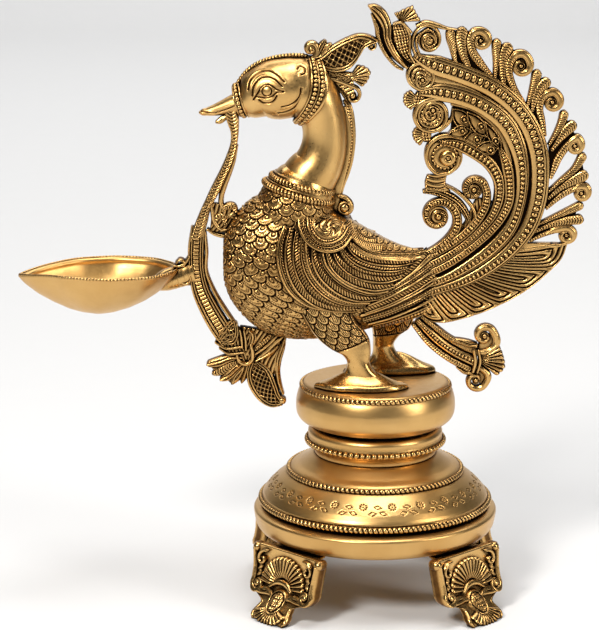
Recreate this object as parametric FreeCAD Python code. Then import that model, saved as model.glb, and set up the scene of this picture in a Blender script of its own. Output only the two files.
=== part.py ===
import FreeCAD, Part
import math
import os

# Brass swan lamp on a turned pedestal, in millimetres, +Z up.
# Everything is drawn about the pedestal's axis and then moved by AXIS_X, so that the
# origin lies on the floor under the middle of the lamp's length. The bird faces -X.

V = FreeCAD.Vector

# Driving dimensions
BOWL_TIP = 178.3          # from the pedestal's axis forward to the bowl's spout
TAIL_BACK = 105.0         # from the pedestal's axis back to the last flame of the tail
AXIS_X = (BOWL_TIP - TAIL_BACK) / 2.0

PLATE_Z = 33.5            # underside of the base plate, on top of the feet
PLATE_TOP_Z = 45.5
PLATE_R = 61.65
DOME_TOP_Z = 72.5
SPOOL_TOP_Z = 86.7
DRUM_Z = 87.7
DRUM_TOP_Z = 109.5
DRUM_R = 40.05
WALL = 2.8                # wall of the hollow castings

STUD_R = 6.0
STUD_LOW_Z = 30.5
STUD_TOP_Z = 101.7
SEAT_CLEARANCE = 0.02     # round seats that are screwed tight
RUN_CLEARANCE = 0.05      # the thread that the drum turns on
BOSS_R = 11.0
BOSS_TOP_Z = 103.5

SCREW_R = 2.0
SCREW_HEAD_R = 3.6
SCREW_HEAD_H = 2.4
FOOT_ANGLES = {"front_near": 225, "front_far": 135, "back_near": 315, "back_far": 45}
FOOT_SCREW_R = 53.0       # radius of the circle of foot screws
FOOT_SCREW_SIDE = 10.0    # each side of the foot's middle

LEG_Y = 16.0              # the legs stand this far each side of the middle plane
STRIDE = 21.0             # the far foot stands this much further back
RIM_Z = 166.0             # plane of the bowl's rim
BOWL_HALF_WIDTH = 28.0
BOWL_BACK = 98.0


# Small helpers

def spline(points, closed=False):
    curve = Part.BSplineCurve()
    curve.interpolate([V(*p) for p in points], PeriodicFlag=closed)
    return curve.toShape()


def slab(outline, half_thickness, smooth=True):
    """A flat casting: an outline in the X-Z plane, thick both ways along Y."""
    points = [(x, -half_thickness, z) for x, z in outline]
    if smooth:
        wire = Part.Wire([spline(points, closed=True)])
    else:
        wire = Part.makePolygon([V(*p) for p in points + points[:1]])
    return Part.Face(wire).extrude(V(0, 2 * half_thickness, 0))


def strand(path, half_thickness):
    """A flat curved rib along (x, z, half width) points."""
    left = []
    right = []
    for i, (x, z, half) in enumerate(path):
        before = path[max(i - 1, 0)]
        after = path[min(i + 1, len(path) - 1)]
        dx = after[0] - before[0]
        dz = after[1] - before[1]
        length = math.hypot(dx, dz)
        left.append((x - dz / length * half, -half_thickness, z + dx / length * half))
        right.append((x + dz / length * half, -half_thickness, z - dx / length * half))
    edges = [
        spline(left),
        Part.LineSegment(V(*left[-1]), V(*right[-1])).toShape(),
        spline(right[::-1]),
        Part.LineSegment(V(*right[0]), V(*left[0])).toShape(),
    ]
    return Part.Face(Part.Wire(edges)).extrude(V(0, 2 * half_thickness, 0))


def disc(x, z, radius, half_thickness):
    """A round boss or scroll with its axis along Y."""
    return Part.makeCylinder(radius, 2 * half_thickness, V(x, -half_thickness, z), V(0, 1, 0))


def ball(x, z, radius, y=0.0):
    return Part.makeSphere(radius, V(x, y, z))


def ellipse_wire(x, z, in_plane, across, direction, y=0.0):
    """An ellipse round a point, square to a direction in the X-Z plane."""
    dx, dz = direction
    length = math.hypot(dx, dz)
    side = V(-dz / length, 0, dx / length)
    points = []
    count = 16
    for i in range(count):
        angle = 2 * math.pi * i / count
        p = V(x, y, z) + side * (in_plane * math.cos(angle)) + V(0, across * math.sin(angle), 0)
        points.append((p.x, p.y, p.z))
    return Part.Wire([spline(points, closed=True)])


def limb(path, y=0.0):
    """A round limb through (x, z, half thickness in the plane, half thickness across)."""
    wires = []
    for i, (x, z, in_plane, across) in enumerate(path):
        before = path[max(i - 1, 0)]
        after = path[min(i + 1, len(path) - 1)]
        direction = (after[0] - before[0], after[1] - before[1])
        wires.append(ellipse_wire(x, z, in_plane, across, direction, y))
    return Part.makeLoft(wires, True)


def trunk(stations):
    """A round body through upright sections: (x, lowest z, highest z, half width)."""
    wires = []
    for x, low, high, half in stations:
        wires.append(ellipse_wire(x, (low + high) / 2, (high - low) / 2, half, (1, 0)))
    return Part.makeLoft(wires, True)


def turned(profile):
    """A lathe part from its (radius, z) half section."""
    points = [V(r, 0, z) for r, z in profile]
    wire = Part.makePolygon(points + points[:1])
    return Part.Face(wire).revolve(V(0, 0, 0), V(0, 0, 1), 360)


def rod(radius, low, high, x=0.0, y=0.0):
    return Part.makeCylinder(radius, high - low, V(x, y, low))


def ring(x, z, radius, thickness, tilt):
    """A round bead or rope ring, tilted about Y."""
    shape = Part.makeTorus(radius, thickness)
    shape.rotate(V(0, 0, 0), V(0, 1, 0), tilt)
    shape.translate(V(x, 0, z))
    return shape


def joined(shapes):
    whole = shapes[0].fuse(shapes[1:]) if len(shapes) > 1 else shapes[0]
    return whole.removeSplitter()


def against(shape, *others):
    """The shape cut back so that it only touches the others, as a single solid."""
    rest = shape.cut(list(others))
    return max(rest.Solids, key=lambda solid: solid.Volume)


# Pedestal

def foot(angle):
    """A cast foot: lug and panel under the plate, waist, and a toe that flares out."""
    sections = [                       # z, inner radius, outer radius, half width
        (PLATE_Z, 46.0, 63.5, 22.0),
        (26.0, 54.0, 65.5, 20.0),
        (17.0, 60.0, 68.0, 12.5),
        (9.0, 64.0, 73.0, 9.5),
        (4.0, 64.5, 77.0, 11.5),
        (0.0, 64.5, 78.5, 12.0),
    ]
    wires = []
    for z, inner, outer, half in sections:
        corners = [V(inner, -half, z), V(outer, -half, z), V(outer, half, z), V(inner, half, z)]
        wires.append(Part.makePolygon(corners + corners[:1]))
    shape = Part.makeLoft(wires, True, True)
    for side in (-1, 1):
        shape = shape.cut(rod(SCREW_R + 0.2, 0, PLATE_Z, FOOT_SCREW_R, side * FOOT_SCREW_SIDE))
    shape.rotate(V(0, 0, 0), V(0, 0, 1), angle)
    return shape


def screw(x, y, seat_z, tip_z):
    """A round-headed screw that points up, its head under seat_z."""
    head = rod(SCREW_HEAD_R, seat_z - SCREW_HEAD_H, seat_z, x, y)
    slot = Part.makeBox(2 * SCREW_HEAD_R, 0.8, 1.0, V(x - SCREW_HEAD_R, y - 0.4, seat_z - SCREW_HEAD_H))
    return head.cut(slot).fuse(rod(SCREW_R, seat_z, tip_z, x, y))


def foot_screw_places():
    places = []
    for angle in FOOT_ANGLES.values():
        for side in (-1, 1):
            p = V(FOOT_SCREW_R, side * FOOT_SCREW_SIDE, 0)
            turn = FreeCAD.Rotation(V(0, 0, 1), angle)
            p = turn.multVec(p)
            places.append((p.x, p.y))
    return places


FOOT_SCREW_SEAT_Z = 26.0


def foot_screws():
    tip = PLATE_Z + 8.0
    return Part.makeCompound([screw(x, y, FOOT_SCREW_SEAT_Z, tip) for x, y in foot_screw_places()])


def with_head_pockets(shape):
    """Open the foot below each screw's head, so that the head can be put in."""
    for x, y in foot_screw_places():
        shape = shape.cut(rod(SCREW_HEAD_R + 0.3, 0, FOOT_SCREW_SEAT_Z, x, y))
    return max(shape.Solids, key=lambda solid: solid.Volume)


def base_plate():
    profile = [
        (STUD_R + SEAT_CLEARANCE, 41.5), (44.0, 41.5), (44.0, PLATE_Z), (59.5, PLATE_Z),
        (PLATE_R - 0.4, 35.3), (PLATE_R, 38.5), (PLATE_R - 0.4, 41.5), (59.6, 44.6),
        (58.2, PLATE_TOP_Z), (STUD_R + SEAT_CLEARANCE, PLATE_TOP_Z),
    ]
    shape = turned(profile)
    for x, y in foot_screw_places():
        shape = shape.cut(rod(SCREW_R + SEAT_CLEARANCE, PLATE_Z, PLATE_Z + 9.0, x, y))
    return shape


def dome():
    outer = [
        (55.5, PLATE_TOP_Z), (56.2, 46.9), (58.2, 47.4), (59.0, 48.7), (58.0, 50.0),
        (55.6, 53.0), (52.4, 57.0), (48.8, 60.6), (45.2, 62.8), (44.4, 64.2), (43.2, 65.5),
        (39.5, 67.2), (35.2, 69.6), (32.4, 71.4), (30.4, DOME_TOP_Z),
    ]
    hole = STUD_R + SEAT_CLEARANCE
    inner = [
        (hole, DOME_TOP_Z), (hole, DOME_TOP_Z - 4.0), (28.0, DOME_TOP_Z - 4.0), (40.0, 62.5),
        (50.5, 54.0), (52.4, PLATE_TOP_Z),
    ]
    return turned(outer + inner)


def spool():
    hole = STUD_R + SEAT_CLEARANCE
    profile = [
        (hole, DOME_TOP_Z), (30.4, DOME_TOP_Z), (30.6, 74.6), (31.8, 76.6), (33.6, 77.6),
        (35.2, 78.2), (35.9, 79.4), (35.2, 80.8), (34.0, 81.4), (34.3, 83.0), (33.6, 84.8),
        (32.0, 86.0), (30.6, SPOOL_TOP_Z), (hole, SPOOL_TOP_Z),
    ]
    return turned(profile)


def tie_stud():
    return rod(STUD_R, STUD_LOW_Z, STUD_TOP_Z)


def stud_washer():
    return rod(13.0, 40.0, 41.5).cut(rod(STUD_R + 0.3, 40.0, 41.5))


def stud_nut():
    across_corners = 10.4
    corners = []
    for i in range(6):
        angle = math.radians(60 * i)
        corners.append(V(across_corners * math.cos(angle), across_corners * math.sin(angle), 32.0))
    hexagon = Part.Face(Part.makePolygon(corners + corners[:1])).extrude(V(0, 0, 8.0))
    return hexagon.cut(rod(STUD_R + SEAT_CLEARANCE, 32.0, 40.0))


def joint_washer():
    low = rod(28.0, SPOOL_TOP_Z, DRUM_Z)
    return low.cut(rod(STUD_R + 0.4, SPOOL_TOP_Z, DRUM_Z))


def pedestal_drum():
    """A drum casting, open below, with a blind boss that screws onto the stud."""
    profile = [
        (STUD_R + RUN_CLEARANCE, DRUM_Z), (BOSS_R, DRUM_Z), (BOSS_R, DRUM_TOP_Z - 4.0),
        (34.0, DRUM_TOP_Z - 4.0), (36.6, 105.0), (36.8, 93.0), (33.5, 91.0), (25.6, 90.2),
        (25.6, DRUM_Z), (31.0, DRUM_Z), (33.6, 89.4), (37.6, 90.9), (39.5, 93.4),
        (DRUM_R, 96.5), (DRUM_R, 100.0), (39.5, 103.5), (38.6, 106.2), (37.6, 108.4),
        (36.0, DRUM_TOP_Z), (0.0, DRUM_TOP_Z), (0.0, BOSS_TOP_Z),
        (STUD_R + RUN_CLEARANCE, BOSS_TOP_Z),
    ]
    shape = turned(profile)
    for x, y in leg_screw_places():
        shape = shape.cut(rod(SCREW_R + 0.2, DRUM_TOP_Z - 5.0, DRUM_TOP_Z, x, y))
    return shape


# Legs

def leg_screw_places():
    return [(-9.0, -LEG_Y), (-9.0 + STRIDE, LEG_Y)]


def leg_screws():
    seat = DRUM_TOP_Z - 4.0
    return Part.makeCompound([screw(x, y, seat, DRUM_TOP_Z + 9.0) for x, y in leg_screw_places()])


def leg(side):
    """A thigh that flattens onto the body, a shank, and a webbed foot on the drum."""
    shift = 0.0 if side < 0 else STRIDE
    y = side * LEG_Y
    shank = [
        (-25.0 + shift * 0.6, 150.0, 12.0, 5.0), (-20.0 + shift * 0.75, 140.0, 12.5, 5.5),
        (-12.5 + shift * 0.9, 129.0, 8.5, 5.5), (-9.0 + shift, 120.0, 5.8, 5.2),
        (-9.5 + shift, 113.5, 7.2, 6.4), (-9.5 + shift, DRUM_TOP_Z, 9.0, 8.0),
    ]
    toes = [
        (-31.0 + shift, y), (-24.0 + shift, y + side * 7.0), (-12.0 + shift, y + side * 10.0),
        (2.0 + shift, y + side * 8.5), (14.0 + shift * 0.8, y + side * 3.0),
        (15.0 + shift * 0.8, y - side * 3.0), (2.0 + shift, y - side * 8.0),
        (-12.0 + shift, y - side * 9.0), (-25.0 + shift, y - side * 6.0),
    ]
    web = Part.Face(Part.Wire([spline([(a, b, DRUM_TOP_Z) for a, b in toes], closed=True)]))
    shape = joined([limb(shank, y), web.extrude(V(0, 0, 2.6))])
    shape = shape.cut(rod(60.0, DRUM_TOP_Z - 20.0, DRUM_TOP_Z))
    x, hole_y = leg_screw_places()[0 if side < 0 else 1]
    return shape.cut(rod(SCREW_R + SEAT_CLEARANCE, DRUM_TOP_Z, DRUM_TOP_Z + 10.0, x, hole_y))


# Bird

BODY = [                       # x, lowest z, highest z, half width
    (-76.0, 166.0, 178.0, 5.0), (-73.5, 155.5, 186.5, 11.0), (-67.5, 145.0, 196.0, 16.0),
    (-58.0, 136.6, 203.0, 19.5), (-46.0, 132.4, 205.0, 21.5), (-32.0, 132.0, 202.0, 22.0),
    (-18.0, 134.0, 194.5, 21.0), (-4.0, 137.0, 186.5, 18.5), (6.0, 139.5, 181.0, 15.5),
    (14.0, 141.0, 178.5, 12.5),
]


def grown(stations, by):
    """The same trunk with its skin moved out (or in) by a wall thickness."""
    return [(x, low - by, high + by, half + by) for x, low, high, half in stations]


def bird_body():
    inside = grown(BODY[1:-1], -WALL)
    return trunk(BODY).cut(trunk(inside))


def wing(side, body, *others):
    """A raised panel that lies on the body from the shoulder to the tail's root."""
    outline = [
        (-44.0, 192.5), (-50.0, 181.5), (-51.0, 169.5), (-48.0, 157.5), (-40.0, 147.0),
        (-25.0, 144.8), (-9.0, 144.6), (-3.0, 148.0), (5.0, 154.0), (11.0, 160.0),
        (12.0, 170.0), (6.0, 178.0), (-8.0, 186.0), (-26.0, 194.5), (-36.0, 196.5),
    ]
    reach = 15.0
    block = slab(outline, reach, smooth=True)
    block.translate(V(0, side * (reach + 5.0), 0))
    raised = trunk(grown(BODY[1:], 2.2)).common(block)
    return against(raised, trunk(BODY), *others)


NECK = [                       # x, z, half thickness in the side view, half width
    (-69.2, 250.0, 6.2, 5.8), (-66.0, 252.2, 9.2, 8.2), (-61.0, 255.0, 12.6, 10.8),
    (-53.5, 256.8, 15.2, 12.8),
    (-44.5, 258.0, 15.6, 13.6), (-36.5, 256.8, 15.0, 13.6), (-30.6, 250.6, 12.6, 12.6),
    (-27.0, 243.0, 11.2, 11.4), (-25.6, 235.5, 10.9, 10.9), (-26.2, 227.5, 11.3, 11.0),
    (-28.7, 219.6, 12.4, 12.2), (-32.6, 213.0, 14.6, 14.4), (-37.0, 205.0, 17.4, 16.6),
    (-39.5, 198.0, 18.0, 17.0),
]

BEAK = [
    (-66.0, 249.8, 7.2, 6.6), (-71.0, 247.8, 4.9, 4.9), (-76.0, 246.2, 3.4, 3.5),
    (-82.0, 245.0, 2.0, 2.3), (-87.0, 244.4, 0.7, 0.9),
]


def neck_and_head(body_solid):
    return against(joined([limb(NECK), limb(BEAK)]), body_solid)


def bridle(*others):
    """A raised collar round the back of the head."""
    collar = [(-36.8, 256.9, 16.3, 14.9), (-33.6, 254.2, 15.4, 14.6), (-30.4, 250.4, 13.9, 13.9)]
    return against(limb(collar), *others)


def necklace(x, z, radius, tilt, *others):
    return against(ring(x, z, radius, 1.9, tilt), *others)


def nape_cord(*others):
    path = [
        (-16.2, 250.0, 1.8, 1.8), (-13.2, 243.0, 1.8, 1.8), (-12.3, 234.5, 1.8, 1.8),
        (-12.8, 226.0, 1.8, 1.8), (-14.8, 217.0, 1.8, 1.8), (-17.2, 209.0, 1.8, 1.8),
        (-18.4, 203.5, 1.8, 1.8),
    ]
    return against(joined([limb(path), ball(-16.0, 198.5, 3.5)]), *others)


def crest(*others):
    """A leaf that reaches back to the tail, with a fan, a curl and a ball below it."""
    leaf = [
        (-35.0, 272.0), (-27.0, 276.5), (-20.0, 281.5), (-12.0, 284.5), (-4.0, 284.0),
        (-2.5, 280.0), (-7.0, 276.0), (-11.0, 270.0), (-15.5, 267.0), (-22.0, 265.5),
        (-30.0, 266.0),
    ]
    fan = [(-21.0, 267.5), (-12.0, 270.0), (-3.5, 267.5), (-4.0, 259.5), (-10.0, 256.5), (-17.0, 261.0)]
    lower = [(-24.0, 262.0, 4.5), (-18.0, 258.0, 3.4), (-13.5, 253.5, 1.6)]
    shapes = [
        slab(leaf, 4.0), slab(fan, 3.0), strand(lower, 2.6),
        ball(-12.0, 252.0, 2.5), ball(-33.0, 277.0, 3.0), ball(-3.6, 278.6, 2.4),
    ]
    return against(joined(shapes), *others)


# Garland, pendant and bowl

def beak_garland(*others):
    strip = [
        (-73.0, 243.6, 3.2), (-70.8, 235.0, 2.2), (-71.4, 227.0, 2.4), (-74.6, 218.0, 2.7),
        (-78.8, 209.0, 3.2), (-83.0, 199.5, 3.8), (-87.2, 189.5, 4.2), (-89.6, 178.0, 4.4),
        (-89.8, 167.0, 4.2), (-88.0, 157.0, 4.0), (-84.0, 147.0, 4.2), (-77.5, 137.0, 4.6),
        (-69.5, 128.0, 5.4), (-62.0, 120.5, 5.6),
    ]
    bracket = [(-86.0, 189.0, 5.0), (-79.0, 191.5, 5.4), (-71.0, 190.0, 5.0)]
    return against(joined([strand(strip, 4.2), strand(bracket, 3.6)]), *others)


def garland_pendant(*others):
    bud = [(-63.0, 117.0, 4.5), (-58.5, 110.5, 6.4), (-53.0, 103.5, 5.0), (-48.0, 98.0, 1.6)]
    left_leaf = [(-62.0, 116.0, 5.0), (-70.0, 112.6, 5.2), (-78.0, 113.0, 4.2), (-84.0, 116.4, 1.8)]
    right_leaf = [(-61.0, 118.0, 4.0), (-55.0, 121.0, 5.0), (-50.0, 126.5, 5.0), (-49.0, 135.5, 4.2)]
    shapes = [strand(bud, 4.2), strand(left_leaf, 3.2), strand(right_leaf, 3.6)]
    return against(joined(shapes), *others)


def leaf_wire(z, scale, inset):
    """The bowl's plan at one height: pointed in front, rounded behind."""
    tip = -BOWL_TIP + inset * 2.0
    back = -BOWL_BACK - inset
    middle = -140.0
    plan = [(0.0, 0.0), (0.20, 0.54), (0.40, 0.88), (0.58, 1.0), (0.78, 0.88), (0.93, 0.52), (1.0, 0.0)]
    edges = []
    for side in (1, -1):
        points = []
        for along, across in plan:
            x = middle + (tip + (back - tip) * along - middle) * scale
            points.append((x, side * (BOWL_HALF_WIDTH - inset) * across * scale, z))
        edges.append(spline(points if side == 1 else points[::-1]))
    return Part.Wire(edges)


def lamp_bowl(*others):
    depth = [(RIM_Z, 1.0), (162.0, 0.93), (157.0, 0.80), (151.0, 0.58), (146.5, 0.32), (144.5, 0.14)]
    wall = 2.0
    outer = Part.makeLoft([leaf_wire(z, s, 0.0) for z, s in depth], True)
    hollow = [leaf_wire(z + wall, s, wall * 0.8) for z, s in depth]
    inner = Part.makeLoft(hollow, True)
    stem = limb([(-102.0, 163.0, 2.6, 3.4), (-97.0, 164.4, 3.0, 3.6), (-91.0, 165.0, 3.4, 3.8)])
    shape = joined([outer, stem]).cut(inner)
    above_rim = Part.makeBox(84.0, 80.0, 10.0, V(-BOWL_TIP - 2.0, -40.0, RIM_Z))
    return against(shape.cut(above_rim), *others)


# Tail

def tail_root(body_solid, *others):
    stations = [(5.0, 141.0, 179.0, 14.2), (14.0, 141.0, 177.5, 12.5), (22.0, 142.0, 175.5, 9.5), (28.0, 144.0, 173.0, 7.0)]
    return against(trunk(stations), body_solid, *others)


def feather_sheet():
    """The sheet between the outermost strand, the leaf border and the scrolls."""
    outline = [
        (24.0, 140.5), (39.0, 140.0), (56.0, 145.5), (75.0, 158.0), (88.0, 171.0), (92.0, 181.0),
        (86.0, 196.0), (85.0, 214.0), (84.5, 228.0), (79.0, 240.0), (70.0, 250.5), (58.0, 261.0),
        (46.0, 267.5), (34.0, 272.0), (24.0, 276.5), (18.0, 271.0), (20.0, 262.0), (27.0, 252.0),
        (34.0, 245.5), (35.0, 236.0), (33.0, 229.0), (45.0, 222.0), (51.0, 214.0), (50.5, 204.0),
        (43.0, 200.0), (38.0, 190.0), (31.0, 181.0), (24.0, 176.0),
    ]
    return slab(outline, 2.6)


def strands():
    """The five long feathers that sweep from the head of the fan to its root."""
    first = [
        (25.0, 272.5, 3.6), (45.0, 264.0, 3.8), (63.0, 251.5, 4.0), (76.0, 235.5, 4.0), (81.0, 215.0, 4.0),
        (78.5, 194.0, 4.0), (68.0, 176.0, 3.8), (51.0, 162.5, 3.6), (24.0, 153.5, 3.2),
    ]
    second = [
        (27.0, 255.0, 3.4), (50.0, 247.5, 3.6), (65.5, 232.0, 3.6), (71.5, 213.0, 3.6), (69.0, 192.5, 3.6),
        (58.0, 176.5, 3.4), (42.0, 165.5, 3.2), (24.0, 159.0, 2.8),
    ]
    third = [
        (55.0, 236.0, 3.0), (63.5, 220.0, 3.2), (64.0, 202.0, 3.2), (55.5, 185.0, 3.2), (40.0, 172.0, 3.0),
        (24.0, 164.5, 2.6),
    ]
    fourth = [
        (38.0, 230.0, 2.8), (52.0, 222.5, 3.0), (58.5, 208.0, 3.0), (55.0, 193.0, 3.0), (43.5, 179.5, 2.8),
        (24.0, 169.0, 2.4),
    ]
    fifth = [(50.0, 213.0, 2.6), (52.0, 201.0, 2.6), (44.5, 187.0, 2.6), (24.0, 172.5, 2.2)]
    return [strand(path, 4.4) for path in (first, second, third, fourth, fifth)]


# One flame of the tail's edge: two short strands, and a longer one that ends in a curl.
FLAMES = [
    ([(36.0, 270.0, 2.0), (36.8, 277.5, 1.6), (35.0, 284.5, 0.9)],
     [(44.0, 268.0, 2.2), (41.6, 278.0, 1.7), (41.0, 286.0, 0.9)],
     [(53.0, 262.0, 2.4), (46.8, 273.0, 2.0), (45.2, 281.0, 1.8)], (50.0, 280.5, 5.0)),
    ([(56.5, 258.0, 2.2), (58.0, 272.0, 1.8), (58.2, 280.5, 0.9)],
     [(59.5, 257.0, 2.2), (61.2, 269.5, 1.8), (62.4, 278.0, 0.9)],
     [(68.0, 250.0, 2.4), (64.0, 263.0, 2.0), (65.4, 271.0, 1.8)], (70.0, 268.0, 5.5)),
    ([(72.0, 249.0, 2.2), (76.8, 259.0, 1.8), (78.0, 265.5, 0.9)],
     [(74.0, 246.0, 2.2), (79.0, 254.5, 1.8), (83.0, 260.5, 0.9)],
     [(81.0, 233.0, 2.4), (80.2, 245.0, 2.0), (82.6, 253.0, 1.8)], (86.0, 250.5, 5.0)),
    ([(83.0, 230.0, 2.2), (89.5, 238.5, 1.8), (92.0, 245.0, 0.9)],
     [(84.0, 226.0, 2.2), (92.5, 234.0, 1.8), (97.5, 239.2, 0.9)],
     [(85.0, 214.0, 2.4), (87.6, 222.5, 2.0), (93.0, 230.5, 1.8)], (97.0, 228.5, 4.5)),
    ([(84.0, 207.0, 2.2), (93.5, 213.5, 1.8), (101.0, 219.0, 0.9)],
     [(84.0, 202.5, 2.2), (96.0, 211.0, 1.8), (TAIL_BACK, 214.6, 0.9)],
     [(83.0, 197.0, 2.4), (90.0, 202.5, 2.0), (97.0, 207.0, 1.6)], (100.6, 205.2, 3.6)),
    ([(82.0, 190.0, 2.2), (94.0, 194.0, 1.8), (101.5, 199.0, 0.9)],
     [(80.0, 184.5, 2.2), (93.0, 191.0, 1.8), (101.5, 192.0, 0.9)],
     [(80.0, 178.0, 2.4), (87.0, 184.0, 2.0), (92.0, 186.4, 1.6)], (94.6, 184.4, 3.2)),
]


def flames():
    shapes = []
    for short, middle, long, curl in FLAMES:
        shapes += [strand(short, 2.8), strand(middle, 2.8), strand(long, 2.8)]
        x, z, radius = curl
        shapes.append(disc(x, z, radius, 3.0))
    return shapes


def tail_head():
    """The upright leaf, fan, bosses and scrolls on the front edge of the fan."""
    leaf = [
        (-5.5, 297.4), (-1.0, 291.0), (0.5, 284.0), (1.5, 277.0), (5.0, 271.0), (10.0, 267.5),
        (20.0, 264.0), (27.0, 268.0), (26.0, 274.5), (30.0, 281.0), (30.5, 287.0), (21.0, 291.0),
        (18.5, 294.6), (14.5, 296.6), (8.0, 293.4), (4.0, 296.6),
    ]
    shapes = [slab(leaf, 3.4)]
    shapes.append(strand([(20.0, 289.5, 1.8), (28.0, 288.0, 1.8), (36.0, 285.4, 1.4)], 3.0))
    shapes.append(strand([(20.0, 266.0, 5.0), (24.0, 252.0, 6.0), (24.0, 238.0, 5.0), (29.0, 226.0, 4.5)], 3.2))
    for x, z, radius in [
        (24.5, 280.5, 6.0), (20.0, 262.0, 6.0), (27.0, 245.5, 7.5), (32.5, 223.0, 8.6),
        (46.5, 206.5, 5.5), (30.0, 194.5, 7.5), (14.5, 251.0, 4.0), (19.5, 233.5, 4.0),
    ]:
        shapes.append(disc(x, z, radius, 4.2))
    curl = [(36.0, 203.0, 3.2), (40.5, 193.0, 3.2), (38.0, 184.0, 3.0), (27.0, 175.5, 3.0)]
    shapes.append(strand(curl, 4.0))
    shapes.append(strand([(30.0, 215.0, 5.0), (38.0, 210.0, 5.0), (46.0, 203.0, 4.5)], 3.2))
    return shapes


def tail_fan(*others):
    return against(joined([feather_sheet()] + strands() + tail_head() + flames()), *others)


def under_tail_plume(*others):
    strip = [
        (21.0, 141.0, 4.8), (25.5, 135.6, 5.6), (31.0, 130.0, 6.8), (38.0, 124.6, 7.2), (50.0, 119.6, 7.8),
    ]
    fan = [(48.0, 127.5), (58.0, 130.0), (62.5, 125.0), (65.0, 118.0), (61.0, 112.0), (47.0, 111.8)]
    shapes = [strand(strip, 4.0), slab(fan, 3.4), disc(54.0, 132.6, 4.7, 4.2), disc(49.6, 110.0, 4.5, 4.2)]
    return against(joined(shapes), *others)


# Assembly

def build():
    parts = {}
    for name, angle in FOOT_ANGLES.items():
        parts["foot_" + name] = with_head_pockets(foot(angle))
    parts["foot_screws"] = foot_screws()
    parts["base_plate"] = base_plate()
    parts["dome"] = dome()
    parts["spool"] = spool()
    parts["tie_stud"] = tie_stud()
    parts["stud_washer"] = stud_washer()
    parts["stud_nut"] = stud_nut()
    parts["joint_washer"] = joint_washer()
    parts["pedestal_drum"] = pedestal_drum()
    parts["leg_screws"] = leg_screws()

    body_solid = trunk(BODY)
    body = bird_body()
    head = neck_and_head(body_solid)
    root = tail_root(body_solid)
    near_wing = wing(-1, body_solid, head, root)
    far_wing = wing(1, body_solid, head, root)
    parts["bird_body"] = body
    parts["neck_and_head"] = head
    parts["tail_root"] = root
    parts["near_wing"] = near_wing
    parts["far_wing"] = far_wing
    parts["near_leg"] = against(leg(-1), body_solid, near_wing)
    parts["far_leg"] = against(leg(1), body_solid, far_wing, root)
    upper = necklace(-36.3, 208.6, 16.6, 14.5, body_solid, head)
    lower = necklace(-38.2, 203.0, 18.0, 19.0, body_solid, head, upper, near_wing, far_wing)
    parts["necklace_upper"] = upper
    parts["necklace_lower"] = lower
    parts["bridle"] = bridle(head)
    parts["nape_cord"] = nape_cord(body_solid, head, upper, lower, near_wing, far_wing, parts["bridle"])
    parts["crest"] = crest(head, parts["bridle"])
    garland = beak_garland(head, body_solid)
    parts["beak_garland"] = garland
    parts["garland_pendant"] = garland_pendant(garland, body_solid)
    parts["lamp_bowl"] = lamp_bowl(garland)
    tail = tail_fan(root, body_solid, near_wing, far_wing, parts["crest"])
    parts["tail_fan"] = tail
    parts["under_tail_plume"] = under_tail_plume(tail, root, body_solid)
    return parts


os.makedirs("parts", exist_ok=True)
for node, shape in build().items():
    shape.translate(V(AXIS_X, 0, 0))
    shape.exportStep("parts/" + node + ".step")
    print(node, "valid" if shape.isValid() else "NOT VALID", len(shape.Solids), round(shape.Volume))
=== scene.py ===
import math

import bpy
import mathutils
import numpy as np
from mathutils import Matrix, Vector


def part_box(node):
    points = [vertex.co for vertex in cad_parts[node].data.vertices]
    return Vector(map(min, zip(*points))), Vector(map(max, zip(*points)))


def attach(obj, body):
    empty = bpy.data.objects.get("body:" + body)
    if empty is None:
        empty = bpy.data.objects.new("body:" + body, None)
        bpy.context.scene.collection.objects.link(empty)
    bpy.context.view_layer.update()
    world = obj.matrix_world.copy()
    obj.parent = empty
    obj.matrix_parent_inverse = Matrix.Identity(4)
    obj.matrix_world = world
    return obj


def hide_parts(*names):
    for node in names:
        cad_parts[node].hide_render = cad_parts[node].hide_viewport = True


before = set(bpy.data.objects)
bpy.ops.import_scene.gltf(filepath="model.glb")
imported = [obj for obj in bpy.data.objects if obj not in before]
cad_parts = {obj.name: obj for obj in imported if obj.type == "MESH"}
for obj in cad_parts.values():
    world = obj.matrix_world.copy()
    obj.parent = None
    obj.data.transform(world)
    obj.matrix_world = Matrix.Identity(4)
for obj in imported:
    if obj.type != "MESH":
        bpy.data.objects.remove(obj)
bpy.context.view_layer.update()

# Everything below is drawn in millimetres about the pedestal's axis, with the floor at z = 0,
# -x towards the beak and -y towards the near side. Form.piece moves it into the row frame.
STUD_LOW, STUD_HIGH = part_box("tie_stud")
AXIS_X = 500.0 * (STUD_LOW[0] + STUD_HIGH[0])
DRUM_TOP = 1000.0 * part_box("pedestal_drum")[1][2]
PLATE_LOW = 1000.0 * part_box("base_plate")[0][2]


# ---------------------------------------------------------------- curves

def full_turn(count):
    """Evenly spaced angles round a circle."""
    return np.linspace(0, 2 * math.pi, count, endpoint=False)


def distances(points):
    """Distance along a line of points, at each of them."""
    return np.concatenate([[0.0], np.cumsum(np.linalg.norm(np.diff(points, axis=0), axis=1))])


def run_length(line):
    """Distance along a path in the side view, at each of its points."""
    return distances(line[:, :2])


def at_distances(line, run, wanted):
    """Every column of a line of points, read at the wanted distances along it."""
    return np.stack([np.interp(wanted, run, column) for column in line.T], axis=1)


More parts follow.
